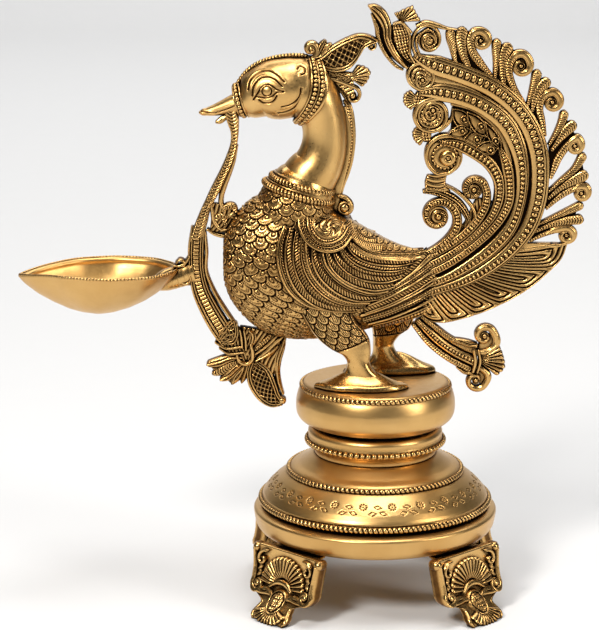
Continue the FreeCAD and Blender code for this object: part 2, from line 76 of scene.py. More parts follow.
def smooth_path(points, step=0.3):
    """Even points on a smooth curve through the given ones. Extra columns, such as a width, follow."""
    p = np.asarray(points, float)
    t = run_length(p)
    slope = np.gradient(p, t, axis=0)
    fine = np.linspace(0.0, t[-1], int(2.0 * t[-1] / step) + 12)
    k = np.clip(np.searchsorted(t, fine, side="right") - 1, 0, len(t) - 2)
    h = (t[k + 1] - t[k])[:, None]
    u = (fine - t[k])[:, None] / h
    value = (
        (2 * u**3 - 3 * u**2 + 1) * p[k] + (u**3 - 2 * u**2 + u) * h * slope[k]
        + (3 * u**2 - 2 * u**3) * p[k + 1] + (u**3 - u**2) * h * slope[k + 1]
    )
    run = run_length(value)
    return at_distances(value, run, np.linspace(0.0, run[-1], max(int(round(run[-1] / step)), 4) + 1))


def cornered_path(points, step):
    """Even points along straight runs, with the corners rounded off by averaging twice."""
    p = np.asarray(points, float)
    run = run_length(p)
    line = at_distances(p, run, np.linspace(0.0, run[-1], int(run[-1] / step) + 2))
    for _ in range(2):
        line[1:-1] = (line[:-2] + 2 * line[1:-1] + line[2:]) / 4
    return line


def side_of(line):
    """Unit normals to the left of a planar path."""
    d = np.gradient(line[:, :2], axis=0)
    d /= np.linalg.norm(d, axis=1)[:, None]
    return np.stack([-d[:, 1], d[:, 0]], axis=1)


def curl(points, centre, turns, inner=0.22, width=None):
    """The path, carried on as a spiral that winds from its last point into a centre.
    turns is positive anticlockwise. The last column is the half width, which ends at width."""
    p = [list(q) for q in points]
    dx = p[-1][0] - centre[0]
    dz = p[-1][1] - centre[1]
    radius = math.hypot(dx, dz)
    start = math.atan2(dz, dx)
    w0 = p[-1][2]
    w1 = w0 * 0.6 if width is None else width
    count = max(int(abs(turns) * 12), 4)
    for i in range(1, count + 1):
        f = i / count
        a = start + 2 * math.pi * turns * f
        r = radius * (1 - (1 - inner) * f)
        p.append([centre[0] + r * math.cos(a), centre[1] + r * math.sin(a), w0 + (w1 - w0) * f])
    return p


# ---------------------------------------------------------------- relief patterns
# Each takes s along, v across and the half width w, in millimetres, and gives a height.

def bump(d, r):
    """A half round of radius r."""
    return np.sqrt(np.clip(1.0 - (d / r) ** 2, 0.0, 1.0))


def peak(d, width):
    """A soft peak: 1 where d is 0, and next to nothing from twice the width on."""
    return np.exp(-((d / width) ** 2))


def ramp(d, width):
    """From 0 where d is 0 up to 1 where d is the width."""
    return np.clip(d / width, 0, 1)


def waves(d, pitch, power):
    """Rounded ridges, one in each pitch."""
    return np.abs(np.cos(math.pi * d / pitch)) ** power


def pearl_row(s, v, pitch, r):
    """Round pearls of radius r along the middle."""
    ds = (s / pitch - np.round(s / pitch)) * pitch
    return bump(np.hypot(ds, v), r)


def beaded_strand(s, v, w):
    """Thin rails each side of a row of pearls."""
    rail = 0.55 * bump(np.abs(v) - w * 0.78, w * 0.24)
    return rail + 0.75 * pearl_row(s, v, w * 0.95, w * 0.5)


def paced(s, w, share):
    """Distance along a strip counted in repeats that are each a share of its width."""
    return np.cumsum(np.diff(s, axis=0, prepend=0.0) / (share * w), axis=0)


def pearls_and_bars(s, v, w, wide):
    """Flattened pearls across a strip, each pair parted by a bent bar."""
    pitch = 0.7 * w
    t = paced(s, w, 0.7)
    ds = (t - np.round(t)) * pitch
    pearl = bump(np.hypot(ds / (pitch * 0.38), v / (wide * w)), 1.0)
    gap = (t - np.floor(t) - 0.5) * pitch + 0.3 * v**2 / w
    return np.maximum(1.05 * pearl, 0.75 * bump(gap, 0.09 * pitch))


def feather_strand(s, v, w):
    """The tail's long feathers: pearls and bars in a channel, a smooth inner side, double outer rails."""
    back = 1.2 * bump(v, w * 1.15)
    channel = ramp(w * 0.42 - np.abs(v), 0.2)
    rails = 0.5 * peak(v - w * 0.66, 0.22) + 0.4 * peak(v - w * 0.85, 0.2)
    return back + channel * (pearls_and_bars(s, v, w, 0.4) - 0.7) - rails


def barbed_feather(s, v, w):
    """A wing feather: a smooth rail, a groove, and a row of slanted barbs."""
    rail = 1.1 * bump(v + w * 0.7, w * 0.27)
    lip = 0.7 * bump(v - w * 0.9, w * 0.1)
    inside = ramp(v + w * 0.34, 0.2) * ramp(w * 0.76 - v, 0.2)
    barbs = waves(s + 0.7 * v, 1.5, 0.8)
    return np.maximum(np.maximum(rail, lip), inside * (0.05 + 0.9 * barbs))


def twin_barbs(s, v, w):
    """A feather with a rail up the middle and barbs leaning away on both sides."""
    rail = 1.0 * bump(v, w * 0.2)
    inside = ramp(np.abs(v) - w * 0.3, 0.18) * ramp(w * 0.86 - np.abs(v), 0.18)
    barbs = waves(s - 0.7 * np.abs(v), 1.4, 0.8)
    return np.maximum(rail, inside * (0.05 + 0.85 * barbs)) + 0.5 * bump(np.abs(v) - w * 0.95, w * 0.08)


def fine_comb(s, v, w):
    """A narrow band of fine lines between two thin rails."""
    rail = 0.6 * bump(np.abs(v) - w * 0.86, w * 0.16)
    inside = ramp(w * 0.68 - np.abs(v), 0.15)
    return np.maximum(rail, inside * (0.1 + 0.45 * waves(s, 0.95, 0.7)))


def rosette(s, v, w):
    """An oval dome with swirling petals."""
    along = s - s.max() / 2
    r = np.hypot(along * 0.75, v)
    swirl = np.abs(np.cos(np.pi * r / 3.2 + 2.5 * np.arctan2(v, along))) ** 0.6
    return 1.2 * bump(v, w * 1.05) + 0.65 * swirl + 0.6 * bump(r, 1.2)


def smooth_rail(s, v, w):
    """A plain half round rail."""
    return 0.9 * bump(v, w)


def ribbed_leaf(s, v, w):
    """A leaf with a middle vein and nested ribs that follow its edge."""
    dome = 0.7 * bump(v, w * 1.15 + 0.3)
    ribs = waves(w - np.abs(v), 1.25, 0.7)
    return dome + 0.5 * ribs


# ---------------------------------------------------------------- forms

def blurred(h, radius):
    """Box average of a grid along both axes."""
    window = 2 * radius + 1
    for axis in (0, 1):
        pad = [(0, 0), (0, 0)]
        pad[axis] = (radius + 1, radius)
        total = np.cumsum(np.pad(h, pad, mode="edge"), axis=axis)
        size = h.shape[axis]
        high = np.take(total, np.arange(window, window + size), axis=axis)
        low = np.take(total, np.arange(size), axis=axis)
        h = (high - low) / window
    return h


def pits(h, scale=0.22):
    """From 0 to 1, how far each point lies below its surroundings."""
    return ramp(blurred(h, 3) - h, scale)


NO_QUADS = np.zeros((0, 4), int)
NO_TRIANGLES = np.zeros((0, 3), int)


class Form:
    """One piece's points, faces and, at each point, how deep in the relief it lies."""

    def __init__(self):
        self.points = []
        self.quads = []
        self.triangles = []
        self.depths = []
        self.count = 0

    def add(self, points, quads=NO_QUADS, triangles=NO_TRIANGLES, depth=0.0, closed=True):
        """Add a shell. A closed one is turned so that its faces look outwards."""
        points = np.asarray(points, float).reshape(-1, 3)
        if closed and signed_volume(points, quads, triangles) < 0:
            quads = quads[:, ::-1]
            triangles = triangles[:, ::-1]
        self.points.append(points)
        self.quads.append(quads + self.count)
        self.triangles.append(triangles + self.count)
        self.depths.append(np.broadcast_to(np.ravel(depth), len(points)))
        self.count += len(points)

    def take(self, other, change):
        """Add another form's shells, moved by a function."""
        first = 0
        for points, quads, triangles, depth in zip(other.points, other.quads, other.triangles, other.depths):
            self.add(change(points), quads - first, triangles - first, depth, closed=False)
            first += len(points)

    def piece(self, name, body, slot, material, *nodes):
        """Make the Blender object, in metres in the row frame."""
        points = (np.concatenate(self.points) + [AXIS_X, 0.0, 0.0]) * 0.001
        quads = np.concatenate(self.quads).astype(np.int32)
        triangles = np.concatenate(self.triangles).astype(np.int32)
        corners = np.concatenate([quads.ravel(), triangles.ravel()])
        starts = np.concatenate([np.arange(len(quads)) * 4, len(quads) * 4 + np.arange(len(triangles)) * 3])
        mesh = bpy.data.meshes.new(name)
        mesh.vertices.add(len(points))
        mesh.vertices.foreach_set("co", points.astype(np.float32).ravel())
        mesh.loops.add(len(corners))
        mesh.loops.foreach_set("vertex_index", corners)
        mesh.polygons.add(len(starts))
        mesh.polygons.foreach_set("loop_start", starts.astype(np.int32))
        mesh.polygons.foreach_set("use_smooth", np.ones(len(starts), bool))
        mesh.update(calc_edges=True)
        mesh.validate()
        # The brass darkens by this depth attribute: patina in the hollows, with painted shade.
        depth = mesh.attributes.new("depth", "FLOAT", "POINT")
        depth.data.foreach_set("value", np.concatenate(self.depths).astype(np.float32))
        mesh.materials.append(material)
        piece = bpy.data.objects.new(name, mesh)
        bpy.context.scene.collection.objects.link(piece)
        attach(piece, body)
        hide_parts(*nodes)


def signed_volume(points, quads, triangles):
    """Six times the volume that the faces enclose, negative where they look inwards."""
    total = 0.0
    for tri in (triangles, quads[:, [0, 1, 2]], quads[:, [0, 2, 3]]):
        a, b, c = points[tri[:, 0]], points[tri[:, 1]], points[tri[:, 2]]
        total += np.einsum("ij,ij->i", a, np.cross(b, c)).sum()
    return total


def grid_quads(rows, columns, wrap_rows=False, wrap_columns=False):
    """The faces of a grid of points, joined up round the rows or the columns where asked."""
    index = np.arange(rows * columns).reshape(rows, columns)
    if wrap_rows:
        index = np.vstack([index, index[:1]])
    if wrap_columns:
        index = np.hstack([index, index[:, :1]])
    quads = np.stack([index[:-1, :-1], index[1:, :-1], index[1:, 1:], index[:-1, 1:]], axis=-1)
    return quads.reshape(-1, 4)


def capped(form, rings, depth=0.0, tips=None):
    """A tube of rings of points, closed at both ends by a fan of triangles round a tip."""
    rows, around = rings.shape[:2]
    tips = [rings[0].mean(axis=0), rings[-1].mean(axis=0)] if tips is None else tips
    j = np.arange(around)
    k = (j + 1) % around
    last_ring = (rows - 1) * around
    first = np.stack([np.full(around, rows * around), j, k], axis=1)
    last = np.stack([np.full(around, rows * around + 1), last_ring + k, last_ring + j], axis=1)
    points = np.vstack([rings.reshape(-1, 3), tips])
    depths = np.append(np.broadcast_to(depth, (rows, around)), [0.0, 0.0])
    form.add(points, grid_quads(rows, around, wrap_columns=True), np.vstack([first, last]), depths)


def two_faces(flat, y, depth, middle=0.0):
    """A casting's near face, then its far face in the opposite order, with the depths of both."""
    near = np.stack([flat[..., 0], middle - y, flat[..., 1]], axis=-1)
    far = np.stack([flat[..., 0], middle + y, flat[..., 1]], axis=-1)
    return np.concatenate([near, far[:, ::-1]], axis=1), np.concatenate([depth, depth[:, ::-1]], axis=1)


def plate(form, flat, y, depth=None, offset=0.0):
    """A two-faced casting: a grid of (x, z) places and its half thickness at each."""
    rows, columns = y.shape
    if depth is None:
        depth = pits(y)
        depth[:, [0, -1]] *= 0.35
        depth[:, [1, -2]] *= 0.7
    middle = offset(flat[..., 1]) if callable(offset) else offset
    loop, depths = two_faces(flat, y, depth, middle)
    faces = [grid_quads(rows, 2 * columns, wrap_columns=True)]
    for row, order in ((0, 1), (rows - 1, -1)):
        near = row * 2 * columns + np.arange(columns - 1)
        far = (row + 1) * 2 * columns - 1 - np.arange(columns - 1)
        faces.append(np.stack([near, near + 1, far - 1, far], axis=1)[:, ::order])
    form.add(loop, np.concatenate(faces), depth=depths)


def rounded_edge(v, w, radius):
    """How thick a strip is, as a share: less within a radius of its sides."""
    t = ramp(np.abs(v) - (w - radius), radius)
    return 0.35 + 0.65 * np.sqrt(1 - t**2)


def strip(path, step, across):
    """A strip's middle line, its normals, and the distances along, across and out to its edge."""
    line = smooth_path(path, step)
    w = line[:, 2][:, None]
    s = run_length(line)[:, None]
    u = np.linspace(-1, 1, max(int(2 * w.max() / across), 6) + 1)[None, :]
    return line, side_of(line), s, u * w, w


def ribbon(form, path, relief, thick=2.4, step=0.3, across=0.3, edge=0.9):
    """A flat strip along (x, z, half width) points with the same relief on both faces."""
    line, side, s, v, w = strip(path, step, across)
    y = thick * rounded_edge(v, w, np.minimum(edge, w * 0.6)) + relief(s, v, w)
    plate(form, line[:, None, :2] + side[:, None, :] * v[..., None], y)


def fan(form, x, z, inner, outer, start, end, ribs, thick=2.2, swell=0.7, squash=1.0):
    """A ribbed shell round a point, between two angles in degrees. outer is its radius, or a
    list of (angle, radius) pairs."""
    turn, far = ((start, end), (outer, outer)) if np.ndim(outer) == 0 else zip(*outer)
    span = abs(math.radians(end - start))
    angle = np.linspace(start, end, max(int(span * max(far) / 0.28), 12))
    a = np.radians(angle)
    outer = np.interp(angle, turn, far)[:, None]
    r = np.linspace(0, 1, max(int((outer.max() - inner) / 0.35), 6))
    phase = np.abs(np.sin(math.pi * ribs * (a - a[0]) / (a[-1] - a[0])))[:, None]
    reach = inner + (outer - inner) * r[None, :] * (0.93 + 0.07 * phase**0.5)
    flat = np.stack([x + reach * np.cos(a)[:, None], z + squash * reach * np.sin(a)[:, None]], axis=-1)
    ribs_up = swell * phase**0.6 * np.clip(r[None, :] * 3, 0.15, 1)
    fall = 0.45 + 0.55 * np.sqrt(np.clip(1 - ramp(r[None, :] - 0.86, 0.14) ** 2, 0, 1))
    plate(form, flat, (thick + ribs_up) * fall)


def icosphere():
    """Points and triangles of a unit ball."""
    g = (1 + 5**0.5) / 2
    p = [(-1, g, 0), (1, g, 0), (-1, -g, 0), (1, -g, 0), (0, -1, g), (0, 1, g),
         (0, -1, -g), (0, 1, -g), (g, 0, -1), (g, 0, 1), (-g, 0, -1), (-g, 0, 1)]
    t = [(0, 11, 5), (0, 5, 1), (0, 1, 7), (0, 7, 10), (0, 10, 11), (1, 5, 9), (5, 11, 4),
         (11, 10, 2), (10, 7, 6), (7, 1, 8), (3, 9, 4), (3, 4, 2), (3, 2, 6), (3, 6, 8),
         (3, 8, 9), (4, 9, 5), (2, 4, 11), (6, 2, 10), (8, 6, 7), (9, 8, 1)]
    p = [np.array(q, float) / np.linalg.norm(q) for q in p]
    for _ in range(2):
        middle = {}
        finer = []
        for a, b, c in t:
            corners = []
            for i, j in ((a, b), (b, c), (c, a)):
                key = (min(i, j), max(i, j))
                if key not in middle:
                    q = p[i] + p[j]
                    middle[key] = len(p)
                    p.append(q / np.linalg.norm(q))
                corners.append(middle[key])
            ab, bc, ca = corners
            finer += [(a, ab, ca), (b, bc, ab), (c, ca, bc), (ab, bc, ca)]
        t = finer
    return np.array(p), np.array(t)


BALL_POINTS, BALL_TRIANGLES = icosphere()


def balls(form, centres, size):
    """Balls of one radius, or ellipsoids where size is three half axes."""
    for centre in centres:
        form.add(BALL_POINTS * size + centre, triangles=BALL_TRIANGLES)


def boss(form, x, z, rings, thick=2.4, pattern=None):
    """A round two-faced boss. rings holds (radius, height) pairs from the middle outwards."""
    profile = smooth_path(rings, 0.25)
    around = max(int(2 * math.pi * rings[-1][0] / 0.35), 24)
    a = full_turn(around)[:, None]
    r = np.maximum(profile[:, 0], 0.03)[None, :]
    y = thick + np.broadcast_to(profile[:, 1], (around, len(profile)))
    if pattern is not None:
        y = y + pattern(a, r)
    depth = pits(y)
    depth[:, -2:] *= 0.35
    loop, depths = two_faces(np.stack([x + r * np.cos(a), z + r * np.sin(a)], axis=-1), y, depth)
    form.add(loop, grid_quads(around, 2 * len(profile), wrap_rows=True), depth=depths)


def limb(form, path, step=0.4, around=96, relief=None):
    """A round limb through (x, z, half thickness, half width) points. relief takes the place
    of each point and gives a height."""
    line = smooth_path(path, step)
    side = side_of(line)
    a = full_turn(around)[None, :]
    half, wide = line[:, 2][:, None], line[:, 3][:, None]
    side_x, side_z = side[:, 0][:, None], side[:, 1][:, None]
    x = line[:, 0][:, None] + side_x * half * np.cos(a)
    y = wide * np.sin(a)
    z = line[:, 1][:, None] + side_z * half * np.cos(a)
    h = np.zeros_like(x) if relief is None else relief(x, y, z)
    out_plane = np.cos(a) / np.maximum(half, 0.3)
    out_y = np.sin(a) / np.maximum(wide, 0.3)
    size = np.hypot(out_plane, out_y)
    x = x + side_x * h * out_plane / size
    y = y + h * out_y / size
    z = z + side_z * h * out_plane / size
    capped(form, np.stack([x, y, z], axis=-1), pits(h, 0.28))


def turned(form, profile, relief, step=0.6, around=360, fine=None):
    """A lathe part from its (radius, z) half section, given as a loop. Where fine is given, only
    the places for which it is true keep their close spacing."""
    line = cornered_path(list(profile) + [profile[0]], step)[:-1]
    if fine is not None:
        line = line[fine(line) | (np.arange(len(line)) % 5 == 0)]
    d = np.roll(line, -1, axis=0) - np.roll(line, 1, axis=0)
    d /= np.linalg.norm(d, axis=1)[:, None]
    normal = np.stack([d[:, 1], -d[:, 0]], axis=1)
    area = np.sum(line[:, 0] * np.roll(line[:, 1], -1) - np.roll(line[:, 0], -1) * line[:, 1])
    normal *= 1 if area > 0 else -1
    a = full_turn(around)[:, None]
    r = line[:, 0][None, :] + 0 * a
    z = line[:, 1][None, :] + 0 * a
    h = relief(a, r, z, normal)
    r = r + normal[:, 0][None, :] * h
    z = z + normal[:, 1][None, :] * h
    points = np.stack([r * np.cos(a), r * np.sin(a), z], axis=-1)
    form.add(points, grid_quads(around, len(line), wrap_rows=True, wrap_columns=True), depth=pits(h))


SMOOTH = 1.0e6                   # a twist so long that the cord is plain
ROPE_SIDES, CORD_SIDES = 20, 14  # points round a rope ring and round a cord


def rope_ring(form, x, z, tilt, radius, wide, cord, twists):
    """A twisted cord bent into a ring round the upright, tilted about y, in degrees."""
    t = full_turn(max(int(2 * math.pi * radius / 0.3), 60))[:, None]
    p = full_turn(ROPE_SIDES)[None, :]
    r = cord * (0.62 + 0.38 * np.abs(np.cos(0.6 * np.sin(p) + twists * t / 2)) ** 0.7)
    along = (radius + r * np.cos(p)) * np.cos(t)
    across = (wide + r * np.cos(p)) * np.sin(t)
    up = r * np.sin(p)
    c, s = math.cos(math.radians(tilt)), math.sin(math.radians(tilt))
    points = np.stack([c * along + s * up + x, across, -s * along + c * up + z], axis=-1)
    form.add(points, grid_quads(len(t), ROPE_SIDES, True, True), depth=ramp(0.86 - r / cord, 0.14))


def cord_along(form, points, radius, twist=2.6, closed=False):
    """A twisted cord along three-dimensional points."""
    p = np.asarray(points, float)
    if closed:
        d = np.roll(p, -1, axis=0) - np.roll(p, 1, axis=0)
    else:
        d = np.gradient(p, axis=0)
    d /= np.linalg.norm(d, axis=1)[:, None]
    up = np.cross(d, [0.0, 1.0, 0.0])
    up[np.linalg.norm(up, axis=1) < 0.05] = [0.0, 0.0, 1.0]
    up /= np.linalg.norm(up, axis=1)[:, None]
    across = np.cross(d, up)
    s = distances(p)[:, None]
    a = full_turn(CORD_SIDES)[None, :]
    r = radius * (0.64 + 0.36 * np.abs(np.cos(0.7 * np.sin(a) + math.pi * s / twist)) ** 0.7)
    depth = ramp(0.84 - r / radius, 0.14)
    out = up[:, None, :] * (r * np.cos(a))[..., None] + across[:, None, :] * (r * np.sin(a))[..., None]
    rings = p[:, None, :] + out
    if closed:
        form.add(rings, grid_quads(len(p), CORD_SIDES, True, True), depth=depth)
    else:
        capped(form, rings, depth, [p[0] - d[0] * radius * 0.4, p[-1] + d[-1] * radius * 0.4])


# ---------------------------------------------------------------- materials

class Nodes:
    """A short way to add and join shader nodes."""

    def __init__(self, name):
        self.material = bpy.data.materials.new(name)
        self.material.use_nodes = True
        self.tree = self.material.node_tree
        self.shader = self.tree.nodes["Principled BSDF"]

    def add(self, kind, settings=None, **inputs):
        node = self.tree.nodes.new("ShaderNode" + kind)
        for key, value in (settings or {}).items():
            setattr(node, key, value)
        for key, value in inputs.items():
            self.join(value, node.inputs[key.replace("_", " ")])
        return node

    def join(self, value, socket):
        if isinstance(value, bpy.types.NodeSocket):
            self.tree.links.new(value, socket)
        else:
            socket.default_value = value

    def maths(self, operation, a, b=0.0, clamp=False):
        node = self.add("Math", {"operation": operation, "use_clamp": clamp})
        self.join(a, node.inputs[0])
        self.join(b, node.inputs[1])
        return node.outputs[0]

    def noise(self, place, scale, detail=3.0, rough=0.55):
        node = self.add("TexNoise", Vector=place, Scale=scale, Detail=detail, Roughness=rough)
        return node.outputs["Fac"]

    def spread(self, value, low, high, to_low=0.0, to_high=1.0):
        node = self.add("MapRange", {"clamp": True}, Value=value)
        for key, number in (("From Min", low), ("From Max", high), ("To Min", to_low), ("To Max", to_high)):
            node.inputs[key].default_value = number
        return node.outputs[0]

    def mix(self, share, a, b):
        node = self.add("Mix", {"data_type": "RGBA"})
        self.join(share, node.inputs["Factor"])
        self.join(a, node.inputs["A"] if "A" in node.inputs else node.inputs[6])
        self.join(b, node.inputs["B"] if "B" in node.inputs else node.inputs[7])
        return node.outputs[2]


def colour(r, g, b):
    return (r, g, b, 1.0)


def brass(name, bright, warm, darkest_shade_and_patina, rough, shade_and_patina_strength, streak=(1.0, 1.0, 1.0), reach=0.0022):
    """Cast brass: gold on the high places, darker in the hollows, with a fine cast grain.
    The hollows get brown patina with painted shade over it, and ambient occlusion paints shade into
    crevices and between parts. The strength after the roughness sets how strongly both darken;
    streak stretches the polishing marks."""
    n = Nodes(name)
    place = n.add("TexCoord").outputs["Object"]
    stretched = n.add("Mapping", Vector=place, Scale=streak).outputs[0]
    broad = n.noise(place, 28.0, 3.0)
    blotch = n.noise(place, 190.0, 4.0, 0.6)
    grain = n.noise(place, 2600.0, 2.0)
    marks = n.noise(stretched, 900.0, 4.0, 0.65)
    # Painted shade: ambient occlusion darkens the colour in crevices, under parts and between parts, where
    # shade falls.
    shade = n.add("AmbientOcclusion", {"samples": 6}, Distance=reach).outputs["AO"]
    # The depth attribute darkens the hollows of the relief: brown patina there, with painted shade over it.
    deep = n.add("Attribute", {"attribute_name": "depth"}).outputs["Fac"]
    painted_shade = n.spread(shade, 0.35, 0.92, 1.0, 0.0)
    shade_and_patina = n.maths("MAXIMUM", painted_shade, deep)
    uneven = n.spread(blotch, 0.3, 0.7, 0.72, 1.18)
    shade_and_patina = n.maths("MULTIPLY", n.maths("MULTIPLY", shade_and_patina, uneven), shade_and_patina_strength, clamp=True)
    gold = n.mix(n.spread(broad, 0.35, 0.65), bright, warm)
    gold = n.mix(n.spread(blotch, 0.52, 0.78, 0.0, 0.35), gold, warm)
    # The colour turns brown, then nearly black, as the patina and the painted shade deepen.
    brown = n.mix(n.spread(shade_and_patina, 0.12, 0.55), gold, colour(warm[0] * 0.42, warm[1] * 0.33, warm[2] * 0.26))
    n.join(n.mix(n.spread(shade_and_patina, 0.42, 0.95), brown, darkest_shade_and_patina), n.shader.inputs["Base Color"])
    base_rough = n.spread(marks, 0.3, 0.7, rough - 0.05, rough + 0.09)
    final_rough = n.maths("ADD", base_rough, n.maths("MULTIPLY", shade_and_patina, 0.3), clamp=True)
    n.join(final_rough, n.shader.inputs["Roughness"])
    n.shader.inputs["Metallic"].default_value = 1.0
    fine = n.add("Bump", Height=grain, Strength=0.09, Distance=0.0001).outputs[0]
    marked = n.add("Bump", Height=marks, Strength=0.12, Distance=0.00008, Normal=fine).outputs[0]
    n.join(marked, n.shader.inputs["Normal"])
    return n.material


# The darkest colour, for the deepest hollows and crevices: black patina with painted shade on it.
DARKEST_SHADE_AND_PATINA = colour(0.009, 0.005, 0.0025)
GOLD = colour(0.72, 0.455, 0.17)
WARM = colour(0.60, 0.35, 0.115)
# The number after the roughness is how strongly patina and painted shade darken the hollows and crevices.
CARVED = brass("carved_brass", GOLD, WARM, DARKEST_SHADE_AND_PATINA, 0.22, 1.9)
PLAIN = brass("plain_brass", GOLD, WARM, DARKEST_SHADE_AND_PATINA, 0.31, 1.2)
TURNED = brass("turned_brass", colour(0.69, 0.43, 0.16), WARM, DARKEST_SHADE_AND_PATINA, 0.33, 1.3, (0.6, 0.6, 6.0))
BOWL = brass("bowl_brass", colour(0.70, 0.44, 0.165), WARM, DARKEST_SHADE_AND_PATINA, 0.36, 0.9)
FASTENER = brass("fastener_brass", colour(0.56, 0.37, 0.15), WARM, DARKEST_SHADE_AND_PATINA, 0.40, 1.2)
CARVED_SLOT, TURNED_SLOT = "antique_brass", "turned_brass"


# ---------------------------------------------------------------- pedestal

def ripple(a, r, z, normal):
    """Slight unevenness left by hand finishing."""
    return 0.05 * np.sin(3 * a + 0.2 * z) + 0.03 * np.sin(7 * a + 1.3)


def make_base_plate():
    form = Form()
    profile = [
        (6.1, 41.5), (44.0, 41.5), (44.0, PLATE_LOW), (57.4, PLATE_LOW), (58.8, 34.2), (59.9, 35.8),
        (60.4, 36.6), (61.0, 39.6), (61.5, 43.0), (61.55, 43.6), (60.9, 44.3), (57.6, 45.5), (6.1, 45.5),
    ]
    turned(form, profile, ripple, around=400)
    form.piece("base_plate_turned", "pedestal", TURNED_SLOT, TURNED, "base_plate")


def dome_stamps(a, r, z, normal):
    """Flower stamps with a group of three outlined leaves between each two, on the slope of the dome."""
    count = 22
    slot = a * count / (2 * math.pi)
    around = 2 * math.pi / count * 51.5
    slope = (r - 51.8) * 1.25
    x = (slot - np.round(slot)) * around
    d = np.hypot(x, slope + 1.6)
    petals = 0.5 + 0.5 * np.cos(9 * np.arctan2(slope + 1.6, x))
    sunk = peak(d - 1.5, 0.5) * (0.3 + 0.7 * petals) + peak(d, 0.5) * 0.9
    x = (slot - np.floor(slot) - 0.5) * around
    for cx, cz, turn in ((0.1, -1.4, 0.1), (-2.6, 1.9, -0.2), (2.8, 1.7, 0.25)):
        u = (x - cx) * math.cos(turn) + (slope - cz) * math.sin(turn)
        w = -(x - cx) * math.sin(turn) + (slope - cz) * math.cos(turn)
        leaf = np.abs(u) / 2.9 + np.abs(w) / 1.05 + 0.06 * u**2
        sunk = np.maximum(sunk, 0.9 * peak(leaf - 0.9, 0.14))
    return -0.5 * sunk * (normal[:, 1][None, :] > 0.2) + ripple(a, r, z, normal)


def under_the_band(a, r, z, normal):
    """The dome is lower where the stamped band lies on it."""
    band = (r > 44.3) & (r < 57.0) & (normal[:, 1][None, :] > 0.2) & (z > 50.5)
    return ripple(a, r, z, normal) - 0.9 * band


def make_dome():
    form = Form()
    profile = [
        (52.4, 45.5), (55.6, 45.5), (56.2, 46.6), (57.4, 47.0), (58.0, 48.2), (57.4, 49.8), (56.2, 52.2),
        (54.2, 54.8), (51.4, 57.6), (48.2, 60.2), (45.4, 62.2), (43.6, 63.3), (43.2, 65.0), (41.6, 66.2),
        (38.4, 67.4), (35.0, 69.6), (32.6, 71.4), (30.8, 72.5), (6.1, 72.5), (6.1, 68.5), (28.0, 68.5),
        (40.0, 61.0), (50.0, 52.0),
    ]
    turned(form, profile, under_the_band, around=380)
    form.piece("dome_turned", "pedestal", TURNED_SLOT, TURNED, "dome")
    band = Form()
    section = [
        (57.3, 50.0), (56.2, 52.2), (54.2, 54.8), (51.4, 57.6), (48.2, 60.2), (45.4, 62.2), (44.0, 63.0),
        (43.4, 61.4), (50.0, 56.2), (55.4, 50.2),
    ]
    turned(band, section, dome_stamps, 0.3, 1100, lambda line: line[:, 1] > 62.5 - 0.9 * (line[:, 0] - 44.4))
    band.piece("dome_stamped", "pedestal", TURNED_SLOT, TURNED, "dome")
    ropes = Form()
    rope_ring(ropes, 0, 64.0, 0, 43.6, 43.6, 1.45, 112)
    rope_ring(ropes, 0, 48.6, 0, 57.7, 57.7, 1.5, 150)
    ropes.piece("dome_ropes", "pedestal", TURNED_SLOT, CARVED, "dome")


def make_spool():
    form = Form()
    profile = [
        (6.1, 72.5), (30.8, 72.5), (30.5, 73.8), (31.3, 75.6), (32.8, 76.9), (33.8, 77.6), (34.0, 80.6),
        (33.4, 81.4), (33.9, 82.6), (33.9, 84.2), (32.9, 85.6), (31.2, 86.3), (30.6, 86.7), (6.1, 86.7),
    ]
    turned(form, profile, ripple, 0.5, 300)
    form.piece("spool_turned", "pedestal", TURNED_SLOT, TURNED, "spool")
    pearls = Form()
    t = full_turn(74)
    balls(pearls, np.stack([34.3 * np.cos(t), 34.3 * np.sin(t), 79.1 + 0 * t], axis=1), (1.5, 1.5, 1.45))
    pearls.piece("spool_pearls", "pedestal", TURNED_SLOT, CARVED, "spool")


def make_drum():
    form = Form()
    top = DRUM_TOP
    profile = [
        (6.1, 87.7), (11.0, 87.7), (11.0, top - 4.0), (34.0, top - 4.0), (36.4, 105.0), (36.6, 93.2),
        (33.5, 91.2), (25.6, 90.2), (25.6, 87.7), (31.2, 87.7), (33.6, 88.2), (37.0, 90.0), (38.9, 91.8),
        (39.8, 94.0), (40.05, 97.0), (39.9, 100.4), (39.2, 103.4), (38.4, 105.6), (37.6, 106.6),
        (36.6, 108.4), (35.6, top), (0.02, top), (0.02, 103.5), (6.1, 103.5),
    ]
    turned(form, profile, ripple, around=320)
    form.piece("drum_turned", "bird", TURNED_SLOT, TURNED, "pedestal_drum")
    edge = Form()
    rope_ring(edge, 0, 107.4, 0, 37.0, 37.0, 1.4, 96)
    edge.piece("drum_rope", "bird", TURNED_SLOT, CARVED, "pedestal_drum")


# ---------------------------------------------------------------- feet

FOOT_TOP = 33.5                  # where a foot meets the base plate


def foot_front(z):
    """How far the foot's front skin stands from the pedestal's axis, at each height."""
    heights = [0.0, 2.0, 5.0, 9.0, 13.0, 17.0, 22.0, 28.0, FOOT_TOP]
    reach = [76.5, 76.2, 73.8, 69.0, 66.0, 64.6, 63.4, 62.6, 62.2]
    return np.interp(z, heights, reach)


def checks(a, r):
    """Small pillows in a square net, in the middle of the boss."""
    return 0.5 * np.abs(np.sin(2.0 * r * np.cos(a))) * np.abs(np.sin(2.0 * r * np.sin(a))) * (r < 4.0)


